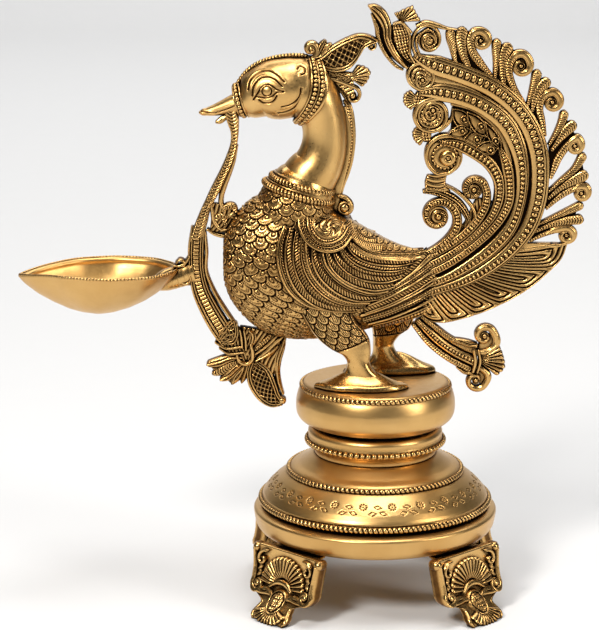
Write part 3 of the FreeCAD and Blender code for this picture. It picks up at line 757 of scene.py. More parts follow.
def make_foot(node, angle):
    """A cast foot: a scallop shell over a boss, C scrolls at the sides and a fanned toe."""
    flat = Form()
    outline = [
        (0.0, 0.2, 11.0), (0.0, 3.0, 12.2), (0.0, 6.0, 11.0), (0.0, 8.2, 11.0), (0.0, 9.6, 14.4),
        (0.0, 11.2, 18.4), (0.0, 14.4, 20.4), (0.0, 19.0, 21.0), (0.0, 25.0, 21.6), (0.0, 30.0, 22.6),
        (0.0, 33.3, 23.2),
    ]
    ribbon(flat, outline, lambda s, v, w: 0.5 * bump(np.abs(v) - w + 0.9, 0.9), 2.2, 0.4, 0.4)
    fan(flat, 0.0, 15.6, 5.0, 15.4, 2.0, 178.0, 17, 3.4, 1.6)
    for side in (-1, 1):
        rail = curl([(side * 21.4, 31.0, 1.2), (side * 20.6, 26.0, 1.4), (side * 20.0, 20.6, 1.6),
                     (side * 20.0, 16.4, 1.6)], (side * 16.6, 14.6), side * -1.1, 0.3)
        ribbon(flat, rail, smooth_rail, 3.6, 0.35, 0.3)
        boss(flat, side * 16.6, 14.6, [(0.02, 1.8), (1.0, 1.4), (1.7, 0.2)], 3.4)
        top = curl([(side * 12.4, 31.6, 0.8), (side * 16.0, 30.6, 1.1), (side * 18.0, 27.6, 1.1)],
                   (side * 15.6, 26.8), side * -0.8, 0.4)
        ribbon(flat, top, smooth_rail, 3.6, 0.35, 0.3)
        for lift, reach in ((21.4, 3.2), (18.2, 3.4)):
            leaf = [(side * 17.6, lift, 0.5), (side * 16.2, lift + reach * 0.5, 1.3),
                    (side * 16.6, lift + reach, 0.5)]
            ribbon(flat, leaf, ribbed_leaf, 3.0, 0.35, 0.3)
        claw = [(side * 16.6, 11.4, 0.8), (side * 12.4, 12.2, 1.9), (side * 8.0, 12.4, 1.7),
                (side * 4.6, 11.4, 0.6)]
        ribbon(flat, claw, ribbed_leaf, 3.2, 0.35, 0.3)
        boss(flat, side * 21.2, 31.2, [(0.02, 2.0), (1.2, 1.6), (2.2, 0.4), (2.6, -0.6)], 2.2)
    ribbon(flat, [(-7.4, 15.2, 0.9), (-4.4, 17.4, 1.4), (0.0, 18.4, 1.6), (4.4, 17.4, 1.4),
                  (7.4, 15.2, 0.9)], smooth_rail, 4.2, 0.35, 0.3)
    fan(flat, 0.0, 7.6, 3.6, 11.0, 196.0, 344.0, 11, 3.0, 1.5, squash=0.78)
    boss(flat, 0.0, 9.6, [(0.02, 2.9), (1.8, 2.7), (3.4, 2.0), (4.2, 0.9), (4.8, 1.7), (5.6, 0.4),
                          (6.0, -0.4)], 2.4, checks)
    c, s = math.cos(math.radians(angle)), math.sin(math.radians(angle))

    def onto_foot(p):
        z = np.clip(p[:, 2], 0.0, FOOT_TOP)
        reach = foot_front(z) - p[:, 1] * 0.9 - 1.6
        return np.stack([c * reach - s * p[:, 0], s * reach + c * p[:, 0], z], axis=1)

    form = Form()
    form.take(flat, onto_foot)
    lug = [(50.0, 31.2, 2.3, 14.0), (56.0, 30.6, 2.9, 15.0), (62.0, 30.0, 3.0, 14.0)]
    bracket = Form()
    limb(bracket, lug, 0.6, 40)
    form.take(bracket, lambda p: p @ np.array([[c, s, 0], [-s, c, 0], [0, 0, 1]]))
    form.piece(node + "_cast", "pedestal", CARVED_SLOT, CARVED, node)


# ---------------------------------------------------------------- body

BODY = np.array([                # x, lowest z, highest z, half width
    (-76.3, 171.8, 172.4, 0.3), (-76.0, 167.0, 177.5, 4.6), (-74.6, 158.5, 184.5, 9.2),
    (-71.6, 151.0, 191.0, 13.2), (-66.5, 144.2, 197.4, 16.6), (-58.0, 136.8, 204.0, 19.6),
    (-46.0, 132.4, 206.0, 21.6), (-32.0, 131.8, 203.0, 22.0), (-18.0, 133.6, 194.6, 21.0),
    (-4.0, 136.6, 186.6, 18.6), (6.0, 139.4, 181.2, 15.6), (14.0, 141.2, 178.2, 10.6),
    (22.0, 142.2, 177.0, 4.4), (31.0, 143.6, 182.0, 1.0),
])
STATIONS = smooth_path(BODY, 0.3)
MOST_UP = 0.995                  # the share of the half height up to which strips may lie on the body
SKIRT = 0.9                      # how far the edge of such a strip goes under the body's skin


def body_at(x):
    """Middle height, half height and half width of the body at x."""
    low_z, high_z, half = (np.interp(x, STATIONS[:, 0], STATIONS[:, k]) for k in (1, 2, 3))
    return (low_z + high_z) / 2, (high_z - low_z) / 2, half


def body_y(x, z):
    """Half width of the body at a place in the side view."""
    mid, tall, half = body_at(x)
    return half * np.sqrt(np.clip(1 - ((z - mid) / tall) ** 2, 0.0, 1.0))


def body_normal(x, z):
    """Outward unit normal on the near side."""
    mid, tall, half = body_at(x)
    up = np.clip((z - mid) / tall, -MOST_UP, MOST_UP)
    out = np.sqrt(1 - up**2)
    reach = 0.5
    level = []
    for place in (x + reach, x - reach):
        m, t, h = body_at(place)
        level.append(((z - m) / t) ** 2 + (out * half / h) ** 2)
    n = np.stack([(level[0] - level[1]) / (4 * reach), -out / half, up / tall], axis=-1)
    return n / np.linalg.norm(n, axis=-1)[..., None]


def scales(p, q, size):
    """Overlapping round scales, free edge down, each with a ring and a comb of fine lines."""
    wide, tall, radius = 0.86 * size, 0.92 * size, 0.56 * size
    height = np.full(p.shape, -1.0)
    best = np.full(p.shape, -1e9)
    near = np.full(p.shape, 1e9)
    column0 = np.round(p / wide)
    places = []
    for dc in (-1, 0, 1):
        column = column0 + dc
        shift = np.where(column % 2 == 0, 0.0, 0.5) * tall
        row0 = np.round((q - shift) / tall)
        for dr in (-1, 0, 1):
            cq = (row0 + dr) * tall + shift
            dx = (p - column * wide) / size
            dy = (q - cq) / size
            d = np.hypot(dx, dy)
            places.append((cq, d))
            inside = d < radius / size
            drop = ramp(radius / size - dy, 2 * radius / size)
            edge = ramp(radius / size - d, 0.075)
            h = 0.25 + 0.5 * drop
            h = h * (0.35 + 0.65 * np.sqrt(1 - (1 - edge) ** 2))
            eye = np.hypot(dx, dy - 0.1)
            h = h + 0.34 * peak(eye - 0.075, 0.035) - 0.26 * peak(eye - 0.15, 0.035)
            comb = 0.5 + 0.5 * np.cos(np.arctan2(dy - 0.1, dx) * 26)
            zone = ramp(d - 0.24, 0.05) * ramp(0.5 - d, 0.04) * (dy < 0.0)
            h = h - 0.3 * comb * zone
            take = inside & (cq > best)
            height = np.where(take, h, height)
            best = np.where(take, cq, best)
    for cq, d in places:
        near = np.where(cq > best + 1e-6, np.minimum(near, d - radius / size), near)
    height = np.where(height < -0.5, 0.0, height) - 0.75 * peak(near, 0.075)
    return height * size / 7.0


BODY_END = 20.4                  # where the scaled body is closed, inside the tail's root


def closed_end(line):
    """The stations up to the body's end, then a rounded end."""
    line = line[line[:, 0] < BODY_END]
    low_z, high_z, half = line[-1, 1:]
    mid = (low_z + high_z) / 2
    turn = 1.5 * np.linspace(0.1, 1.0, 8)
    share = np.cos(turn)
    end = [BODY_END + 2.4 * np.sin(turn), mid + (low_z - mid) * share, mid + (high_z - mid) * share,
           half * share]
    return np.vstack([line, np.stack(end, axis=1)])


def round_the_breast(x, z):
    """Distance along the body's outline at each level, from its front to each place."""
    across = np.linspace(-76.0, 30.0, 400)
    levels = np.linspace(131.0, 206.0, 160)
    y = body_y(across[None, :], levels[:, None])
    steps = np.hypot(np.diff(across), np.diff(y, axis=1)) * (np.maximum(y[:, 1:], y[:, :-1]) > 0)
    girth = np.pad(np.cumsum(steps, axis=1), ((0, 0), (1, 0)))
    at_i = np.clip((z - levels[0]) / (levels[1] - levels[0]), 0, len(levels) - 1.001)
    at_j = np.clip((x - across[0]) / (across[1] - across[0]), 0, len(across) - 1.001)
    i, j = at_i.astype(int), at_j.astype(int)
    fi, fj = at_i - i, at_j - j
    return (girth[i, j] * (1 - fi) * (1 - fj) + girth[i + 1, j] * fi * (1 - fj)
            + girth[i, j + 1] * (1 - fi) * fj + girth[i + 1, j + 1] * fi * fj)


def make_body():
    """The breast and back, covered with scales."""
    form = Form()
    line = closed_end(STATIONS)
    a = full_turn(560)[None, :]
    mid = ((line[:, 1] + line[:, 2]) / 2)[:, None]
    tall = ((line[:, 2] - line[:, 1]) / 2)[:, None]
    x = line[:, 0][:, None] + 0 * a
    y = line[:, 3][:, None] * np.sin(a)
    z = mid + tall * np.cos(a)
    q = 37.5 * np.arcsin(np.clip((z - 168.0) / 38.5, -0.999, 0.999))
    big = scales(round_the_breast(x, z) + 0.42 * (q - 10.0), q, 7.0)
    small = scales(x + 0.5 * z, z - 0.35 * x, 3.6)
    back = ramp(x + 24.0 + (z - 190.0) * 0.3, 4.0)
    spine = np.clip(np.abs(y) / 4.0, 0.12, 1.0) ** back
    neck = ramp(z - 201.0 + 0.25 * (x + 56.0), 2.0)
    ends = ramp(line[:, 0] + 76.2, 1.0) * ramp(BODY_END - line[:, 0], 2.0)
    h = (big * (1 - back) + small * back) * np.where(z > mid, spine, 1.0) * (1 - neck) * ends[:, None]
    surface = np.stack([x, y, z], axis=-1)
    normal = np.cross(np.gradient(surface, axis=1), np.gradient(surface, axis=0))
    normal /= np.maximum(np.linalg.norm(normal, axis=-1), 1e-9)[..., None]
    middle = np.stack([x + 1e-3, 0 * y, mid + 0 * z], axis=-1)
    normal *= np.sign(np.sum(normal * (surface - middle), axis=-1))[..., None]
    capped(form, surface + normal * (h * 1.15)[..., None], pits(h, 0.2))
    form.piece("body_scaled", "bird", CARVED_SLOT, CARVED, "bird_body")


def laid(form, path, relief, raise_by=0.8, side=-1, step=0.3, across=0.28):
    """A strip that lies on the body's flank along (x, z, half width) points of the side view.
    A skirt all round it goes under the body's skin."""
    line, left, s, v, w = strip(path, step, across)
    h = relief(s, v, w) * np.ones_like(v) + raise_by
    depth = np.pad(pits(h), ((0, 0), (1, 1)), constant_values=1.0)
    depth = np.pad(depth, ((1, 1), (0, 0)), mode="edge")
    h = np.pad(h, 1, constant_values=-SKIRT)
    v = np.pad(v, 1, mode="edge")
    line, left = (np.pad(rows, ((1, 1), (0, 0)), mode="edge") for rows in (line, left))
    x = line[:, 0][:, None] + left[:, 0][:, None] * v
    z = line[:, 1][:, None] + left[:, 1][:, None] * v
    mid, tall = body_at(x)[:2]
    z = np.clip(z, mid - MOST_UP * tall, mid + MOST_UP * tall)
    normal = body_normal(x, z)
    points = np.stack([x, -body_y(x, z), z], axis=-1) + normal * h[..., None]
    quads = grid_quads(*x.shape)
    row, column = x.shape[0] // 2, x.shape[1] // 2
    a = points[row + 1, column] - points[row, column]
    b = points[row, column + 1] - points[row, column]
    if np.dot(np.cross(a, b), normal[row, column]) < 0:
        quads = quads[:, ::-1]
    if side > 0:
        points = points * [1, -1, 1]
        quads = quads[:, ::-1]
    form.add(points, quads, depth=depth, closed=False)


def between(curves, f):
    """A curve between several guide curves that have equal numbers of points."""
    guides = np.array(curves, float)
    at = f * (len(guides) - 1)
    k = min(int(at), len(guides) - 2)
    return guides[k] * (1 - (at - k)) + guides[k + 1] * (at - k)


WING_GUIDES = [          # from the wing's leading edge round to its upper edge
    [(-46.0, 191.6), (-49.4, 183.0), (-48.4, 170.0), (-43.5, 159.5), (-35.0, 153.0), (-23.0, 150.4),
     (-12.0, 149.6)],
    [(-40.0, 190.0), (-41.0, 181.0), (-39.8, 171.0), (-35.4, 162.0), (-28.0, 155.4), (-19.0, 151.8),
     (-9.0, 151.4)],
    [(-35.4, 183.5), (-35.0, 177.0), (-32.6, 169.6), (-27.6, 162.8), (-20.6, 157.2), (-13.0, 154.6),
     (-4.2, 154.0)],
    [(-28.0, 178.6), (-26.6, 173.6), (-23.0, 168.4), (-17.4, 163.6), (-11.0, 160.2), (-4.0, 158.0),
     (3.6, 158.4)],
    [(-20.4, 178.6), (-17.6, 174.6), (-13.4, 170.8), (-8.0, 168.0), (-2.0, 166.4), (5.4, 165.7),
     (12.4, 166.6)],
    [(-13.4, 182.4), (-10.4, 179.6), (-6.4, 177.2), (-1.0, 175.4), (5.6, 174.0), (12.6, 173.0),
     (19.0, 172.8)],
]


def make_wing(name, node, side):
    """A folded wing: a scrolled shoulder over long barbed feathers."""
    form = Form()
    count = 11
    patterns = [twin_barbs, barbed_feather, barbed_feather]
    for i in range(count):
        f = (i + 0.5) / count
        line = between(WING_GUIDES, f)
        width = np.array([0.9, 1.7, 2.15, 2.25, 2.1, 1.8, 1.0]) * (1.0 if 0 < i < count - 1 else 0.92)
        path = [(x, z, w) for (x, z), w in zip(line, width)]
        laid(form, path, patterns[i % 3], 1.0 + 0.5 * (i % 2), side, 0.26, 0.24)
    for f, lift in ((0.02, 1.4), (0.985, 1.5), (0.4, 1.6), (0.62, 1.6)):
        path = [(x, z, 0.62) for x, z in between(WING_GUIDES, f)]
        laid(form, path, smooth_rail, lift, side, 0.3, 0.22)
    shoulder = [
        [(-38.9, 196.6), (-38.4, 190.6), (-35.6, 185.0), (-30.6, 181.0), (-24.0, 179.2), (-17.6, 180.6),
         (-13.4, 184.6)],
        [(-34.8, 195.6), (-34.0, 189.8), (-31.4, 185.6), (-27.0, 183.0), (-22.0, 183.0), (-17.8, 185.2),
         (-15.2, 188.6)],
        [(-31.6, 194.4), (-30.8, 190.0), (-28.6, 187.0), (-25.4, 185.6), (-22.0, 186.0), (-19.4, 187.8),
         (-17.6, 190.4)],
    ]
    for f, w, relief in ((0.0, 0.75, smooth_rail), (0.24, 1.3, twin_barbs), (0.5, 0.6, smooth_rail),
                         (0.72, 1.2, beaded_strand), (0.98, 0.6, smooth_rail)):
        laid(form, [(x, z, w) for x, z in between(shoulder, f)], relief, 1.9, side, 0.26, 0.2)
    laid(form, [(-31.6, 189.6, 0.6), (-28.4, 189.4, 3.2), (-24.0, 189.0, 4.4), (-19.8, 188.8, 3.4),
                (-16.8, 189.0, 0.6)], rosette, 1.0, side, 0.22, 0.2)
    for cup, w in (
        ([(-15.0, 190.8), (-12.8, 186.2), (-9.4, 182.4), (-4.0, 179.8), (1.6, 178.6)], 1.5),
        ([(-11.8, 187.6), (-9.4, 184.9), (-5.4, 182.6), (-1.2, 181.8)], 1.2),
    ):
        laid(form, [(x, z, w) for x, z in cup], fine_comb, 1.3, side, 0.22, 0.2)
    back = [
        [(-12.0, 184.0), (-6.0, 179.2), (1.0, 176.6), (10.0, 175.2), (17.6, 174.6), (23.6, 175.4)],
        [(-12.8, 181.6), (-6.4, 177.2), (0.6, 175.0), (10.0, 173.6), (17.6, 172.8), (23.6, 173.4)],
    ]
    for f, w, relief in ((0.0, 0.9, beaded_strand), (1.0, 0.8, smooth_rail)):
        laid(form, [(x, z, w) for x, z in between(back, f)], relief, 1.2, side, 0.26, 0.2)
    form.piece(name, "bird", CARVED_SLOT, CARVED, node)


ROOT_GUIDES = [          # the long feathers that come out below the wing, lowest first
    [(-2.0, 139.6), (6.0, 141.0), (14.0, 143.2), (22.0, 145.4), (29.6, 148.4)],
    [(-9.0, 146.0), (2.0, 149.4), (12.0, 152.6), (21.0, 155.6), (29.6, 160.0)],
    [(-4.0, 153.4), (4.0, 156.6), (13.0, 160.2), (20.8, 163.4), (28.6, 168.0)],
    [(10.0, 164.0), (13.6, 166.0), (17.2, 168.2), (21.0, 171.2), (26.0, 175.6)],
]


def make_tail_root():
    form = Form()
    for side in (-1, 1):
        patterns = [beaded_strand, smooth_rail, twin_barbs, smooth_rail, barbed_feather, smooth_rail,
                    twin_barbs, smooth_rail, barbed_feather]
        for i, relief in enumerate(patterns):
            f = i / (len(patterns) - 1)
            w = 0.7 if relief is smooth_rail else 1.75
            path = [(x, z, w) for x, z in between(ROOT_GUIDES, f)]
            laid(form, path, relief, 0.9, side, 0.26, 0.24)
    form.piece("tail_root_feathers", "bird", CARVED_SLOT, CARVED, "tail_root")


# ---------------------------------------------------------------- castings with two faces, and trims

def distance_to(x, z, line):
    """Distance from each place to a smooth line in the side view."""
    p = smooth_path(line, 0.5)
    best = np.full(np.shape(x), 1e9)
    for (x0, z0), (x1, z1) in zip(p[:-1, :2], p[1:, :2]):
        dx, dz = x1 - x0, z1 - z0
        t = ramp((x - x0) * dx + (z - z0) * dz, dx * dx + dz * dz)
        best = np.minimum(best, np.hypot(x - x0 - t * dx, z - z0 - t * dz))
    return best


def patch(form, first, second, relief, thick=2.4, step=0.3, across=0.28, offset=0.0, edge=0.9, shade_and_patina=None):
    """A two-faced casting between two edge lines that run the same way."""
    a, b = smooth_path(first, 0.2), smooth_path(second, 0.2)
    longer = max(run_length(a)[-1], run_length(b)[-1])
    f = np.linspace(0, 1, max(int(longer / step), 6) + 1)
    a, b = (at_distances(c[:, :2], run_length(c), f * run_length(c)[-1]) for c in (a, b))
    width = np.linalg.norm(b - a, axis=1)
    s = run_length((a + b) / 2)[:, None]
    w = width[:, None] / 2
    u = np.linspace(-1, 1, max(int(width.max() / across), 6) + 1)[None, :]
    flat = a[:, None, :] * (0.5 - u[..., None] / 2) + b[:, None, :] * (0.5 + u[..., None] / 2)
    y = thick * rounded_edge(u * w, w, np.minimum(edge, w * 0.6 + 0.05)) + relief(s, u * w, w)
    # Where a darkness is given, the depth is set flat to it, painting the sheet as a recess with patina and
    # painted shade.
    plate(form, flat, y, None if shade_and_patina is None else np.full(y.shape, shade_and_patina), offset)


def backing(form, first, second, thick, shade_and_patina, step=0.6):
    """A coarse, plain sheet that closes the gaps behind the carving. The number after thick sets how dark it
    is painted: patina of the recess with painted shade over it.
    """
    patch(form, first, second, flat_ground, thick, step, step, shade_and_patina=shade_and_patina)


def scroll(form, path, centre, turns, relief, thick, ball=1.4, lift=1.2, inner=0.3, width=None):
    """A strip that ends in a spiral round a ringed ball."""
    ribbon(form, curl(path, centre, turns, inner, width), relief, thick, 0.3, 0.25)
    rings = [(0.02, lift), (ball * 0.5, lift * 0.86), (ball * 0.82, lift * 0.35), (ball, 0.0)]
    boss(form, *centre, rings + [(ball * 1.2, 0.35), (ball * 1.4, 0.0)], thick)


def ringed_boss(form, x, z, radius, thick, rings, height=0.9):
    """A round boss with concentric rims and a ball in the middle."""
    count = max(int(radius / 0.2), 8)
    r = np.linspace(0.02, radius, count)
    wave = np.abs(np.cos(math.pi * rings * (1 - r / radius))) ** 0.7
    dome = 0.4 * np.sqrt(np.clip(1 - (r / radius) ** 2, 0, 1))
    boss(form, x, z, [(a, height * b + c) for a, b, c in zip(r, wave, dome)], thick)


def ring_of_balls(form, x, z, radius, size, count, y):
    """Slightly flat balls in a circle in the side view, on both faces."""
    t = full_turn(count)
    for face in (-1, 1):
        centres = np.stack([x + radius * np.cos(t), np.full(count, face * y), z + radius * np.sin(t)], axis=1)
        balls(form, centres, (size, 0.8 * size, size))


def round_the_limb(side_points, half, spacing):
    """Places round a limb, from a curve drawn on its near side from top to bottom."""
    line = smooth_path(side_points, 0.2)
    t = run_length(line) / run_length(line)[-1]
    near = np.stack([line[:, 0], -half * np.sqrt(np.clip(1 - (2 * t - 1) ** 2, 0, 1)), line[:, 1]], axis=1)
    far = near[-2:0:-1] * [1, -1, 1]
    loop = np.vstack([near, far, near[:1]])
    run = distances(loop)
    return at_distances(loop, run, np.linspace(0, run[-1], int(run[-1] / spacing), endpoint=False))


def on_the_middle(line, shift=0.0):
    """A path of the side view as places in the lamp's middle plane, moved along x."""
    return np.stack([line[:, 0] + shift, 0 * line[:, 0], line[:, 1]], axis=1)


# ---------------------------------------------------------------- head and neck

NECK = [                         # x, z, half thickness in the side view, half width
    (-47.0, 258.4, 9.0, 8.0), (-42.0, 258.0, 12.6, 11.0), (-36.5, 256.4, 14.6, 13.0),
    (-30.6, 250.8, 12.9, 12.7), (-27.0, 243.0, 11.2, 11.4), (-25.8, 235.5, 10.9, 10.9),
    (-26.3, 227.5, 11.3, 11.0), (-28.9, 219.6, 12.2, 12.2), (-33.3, 213.0, 13.7, 13.7),
    (-36.8, 206.0, 14.7, 14.7), (-38.0, 201.0, 14.0, 14.0),
]

EYE_X, EYE_Z = -54.1, 257.4
HEAD_CUTS = [
    [(-60.6, 253.1), (-58.3, 256.7), (-56.3, 259.6), (-53.5, 260.6), (-51.3, 259.8), (-49.1, 258.3),
     (-45.7, 257.4)],
    [(-46.3, 257.0), (-49.3, 256.8), (-51.5, 255.0), (-54.3, 254.1), (-57.3, 254.4), (-59.4, 254.6)],
    [(-57.9, 253.0), (-55.3, 251.5), (-52.3, 251.7), (-50.2, 253.4), (-49.3, 255.3)],
    [(-61.2, 254.9), (-60.9, 258.1), (-59.1, 261.6), (-56.7, 263.6), (-53.5, 264.2), (-50.3, 263.1),
     (-46.7, 259.9)],
    [(-63.2, 257.7), (-62.2, 262.0), (-59.7, 264.9), (-56.3, 266.6), (-53.0, 266.9), (-49.4, 265.3),
     (-45.6, 262.0)],
    [(-37.6, 258.9), (-38.0, 255.5), (-40.2, 252.3), (-43.5, 250.2), (-46.9, 249.4)],
    [(-37.0, 255.5), (-38.6, 251.7), (-41.5, 248.5), (-44.7, 246.9), (-48.5, 246.2)],
    [(-39.2, 267.8), (-38.6, 268.9), (-37.0, 268.9), (-35.5, 267.6), (-35.7, 266.1), (-37.6, 265.2)],
]


def head_relief(x, y, z):
    """The engraved eye, brows and cheek lines, on both sides of the head."""
    on_head = np.abs(y) > 3.0
    h = np.zeros_like(x)
    for line in HEAD_CUTS:
        d = distance_to(x, z, line)
        h += 0.16 * peak(d - 0.75, 0.4) - 0.62 * peak(d, 0.36)
    r = np.hypot(x - EYE_X, z - EYE_Z)
    h += 0.5 * bump(r, 2.1)
    h += 0.3 * peak(r - 2.95, 0.3) - 0.5 * peak(r - 2.35, 0.26)
    return h * on_head


def beak_relief(x, y, z):
    """The line between the two halves of the beak, and a soft ridge above it."""
    line = [(-86.4, 245.9), (-85.0, 245.6), (-81.0, 244.9), (-76.5, 246.1), (-73.2, 247.4), (-69.8, 249.0)]
    d = distance_to(x, z, line)
    return -0.6 * peak(d, 0.36) + 0.14 * peak(d - 0.9, 0.4)


HEAD = [                         # x, z, half height, half width, from the beak to the back of the crown
    (-68.8, 250.0, 2.8, 3.2), (-68.2, 250.2, 5.2, 6.2), (-66.4, 250.6, 7.2, 8.2),
    (-63.2, 251.6, 9.8, 10.2), (-58.4, 254.1, 12.4, 12.2), (-52.0, 256.0, 14.6, 13.5),
    (-45.0, 257.1, 14.9, 13.8), (-38.5, 258.1, 14.2, 13.4), (-33.0, 259.2, 12.6, 11.8),
    (-29.0, 259.5, 9.3, 8.8), (-26.5, 259.7, 5.4, 5.2), (-25.6, 259.7, 1.0, 1.0),
]


def shoulder_scales(x, y, z):
    """Scales on the swelling below the necklaces."""
    below = np.clip(204.4 - 0.344 * (x + 38.4) - z, 0, 1)
    return 1.05 * scales(17.0 * np.arctan2(y, x + 38.0), z, 6.4) * below


def make_head():
    form = Form()
    limb(form, HEAD, 0.22, 420, head_relief)
    form.piece("head_engraved", "bird", CARVED_SLOT, PLAIN, "neck_and_head")
    neck = Form()
    limb(neck, NECK, 0.4, 220)
    neck.piece("neck", "bird", CARVED_SLOT, PLAIN, "neck_and_head")
    shoulder = Form()
    limb(shoulder, [(-32.0, 213.6, 13.0, 13.0), (-33.6, 211.0, 15.2, 14.9), (-37.2, 205.0, 17.2, 16.9),
                    (-40.6, 197.4, 18.6, 17.8), (-43.6, 190.0, 18.4, 16.8), (-45.6, 184.0, 15.0, 13.6)],
         0.28, 420, shoulder_scales)
    shoulder.piece("shoulder_scaled", "bird", CARVED_SLOT, CARVED, "neck_and_head")
    beak = Form()
    path = [
        (-65.5, 250.4, 6.2, 5.8), (-70.5, 249.0, 4.9, 4.8), (-75.0, 247.6, 3.9, 3.9),
        (-79.5, 246.3, 2.9, 3.0), (-83.6, 245.4, 2.0, 2.1), (-86.6, 245.0, 1.2, 1.3),
        (-87.6, 244.9, 0.4, 0.5),
    ]
    limb(beak, path, 0.2, 110, beak_relief)
    beak.piece("beak", "bird", CARVED_SLOT, PLAIN, "neck_and_head")
    trim = Form()
    ring = round_the_limb([(-69.9, 258.4), (-69.0, 254.1), (-68.0, 250.1), (-66.7, 246.3), (-65.2, 243.4)],
                          8.0, 2.05)
    balls(trim, ring, 1.28)
    for side in ([(-71.0, 258.0), (-70.4, 254.1), (-69.5, 250.4), (-68.4, 246.6), (-66.9, 243.2)],
                 [(-68.3, 259.8), (-67.1, 254.3), (-66.0, 250.0), (-64.5, 246.0), (-63.0, 243.0)]):
        cord_along(trim, round_the_limb(side, 8.4, 0.4), 0.5, SMOOTH, True)
    crown = smooth_path([(-69.2, 257.8), (-67.4, 260.8), (-64.4, 264.7), (-61.2, 267.5), (-56.9, 269.9),
                         (-51.9, 271.6), (-45.6, 272.8), (-40.7, 273.1), (-35.7, 272.8), (-31.0, 271.0)], 0.2)
    cord_along(trim, on_the_middle(crown), 1.35, 1.6)
    trim.piece("head_bead_rows", "bird", CARVED_SLOT, CARVED, "neck_and_head")


BRIDLE_EDGES = [
    [(-33.8, 272.8), (-32.7, 267.4), (-32.5, 261.6), (-33.5, 255.6), (-35.7, 249.8), (-38.4, 245.0),
     (-41.4, 240.8)],
    [(-27.6, 271.0), (-25.6, 266.0), (-24.9, 260.4), (-25.5, 255.2), (-28.4, 249.1), (-32.2, 244.2),
     (-36.6, 239.0)],
]


def make_bridle():
    form = Form()
    for f in (0.29, 0.73):
        ring = round_the_limb(between(BRIDLE_EDGES, f), 13.6, 2.1)
        balls(form, ring, (1.28, 1.15, 1.02))
    for f, size in ((0.04, 0.5), (0.51, 0.45), (0.98, 0.85)):
        cord_along(form, round_the_limb(between(BRIDLE_EDGES, f), 13.6, 0.4), size, SMOOTH, True)
    form.piece("bridle_beads", "bird", CARVED_SLOT, CARVED, "bridle")


def make_necklaces():
    upper = Form()
    rope_ring(upper, -37.0, 209.8, 15.5, 15.4, 15.0, 1.8, 52)
    rope_ring(upper, -36.2, 212.2, 14.5, 14.4, 14.0, 0.7, 0)
    upper.piece("necklace_upper_rope", "bird", CARVED_SLOT, CARVED, "necklace_upper")
    lower = Form()
    rope_ring(lower, -38.7, 205.8, 16.8, 17.3, 17.0, 1.85, 58)
    rope_ring(lower, -38.0, 207.8, 16.2, 16.4, 16.0, 0.7, 0)
    lower.piece("necklace_lower_rope", "bird", CARVED_SLOT, CARVED, "necklace_lower")


def make_nape_cord():
    form = Form()
    line = smooth_path([(-15.4, 251.2), (-13.6, 245.6), (-12.6, 238.4), (-12.4, 232.1), (-12.9, 225.8),
                        (-14.0, 219.4), (-15.6, 214.0), (-17.7, 208.5), (-18.8, 203.4), (-18.4, 200.6)], 0.2)
    cord_along(form, on_the_middle(line, -0.6), 1.4, 1.5)
    cord_along(form, on_the_middle(line, 0.9), 1.0, SMOOTH)
    ribbon(form, [(-16.6, 248.0, 1.2), (-14.8, 240.0, 1.6), (-14.3, 232.0, 1.7), (-14.9, 225.0, 1.7),
                  (-16.2, 218.0, 1.8), (-18.2, 211.0, 2.2), (-20.4, 205.0, 2.8), (-21.4, 200.0, 3.4),
                  (-22.0, 195.0, 3.6)], flat_ground, 1.6)
    boss(form, -16.0, 197.8, [(0.02, 1.2), (1.3, 1.0), (2.3, 0.3), (2.8, 0.6), (3.4, 0.0)], 2.6)
    ribbon(form, curl([(-19.4, 204.0, 1.0), (-14.8, 202.0, 1.3), (-12.6, 198.6, 1.3)], (-16.0, 197.8), -0.7,
                      0.7), double_lip, 2.2)
    form.piece("nape_cord_rope", "bird", CARVED_SLOT, CARVED, "nape_cord")


def netted(s, v, w):
    """Two smooth rims round a cross-hatched middle."""
    d = w - np.abs(v)
    rim = 0.75 * bump(d - 0.7, 0.62) + 0.7 * bump(d - 2.2, 0.62)
    return np.maximum(rim, ramp(d - 3.0, 0.3) * netting(s, v, 0.9, 3.2))


def netting(s, v, lean, pitch):
    """Crossed raised threads with a small pillow in each mesh."""
    a = np.abs(np.sin(math.pi * (s + lean * v) / pitch))
    b = np.abs(np.sin(math.pi * (s - lean * v) / pitch))
    threads = peak(np.minimum(a, b) * pitch, 1.5)
    return 0.05 + 0.95 * threads + 0.25 * (a * b) ** 4


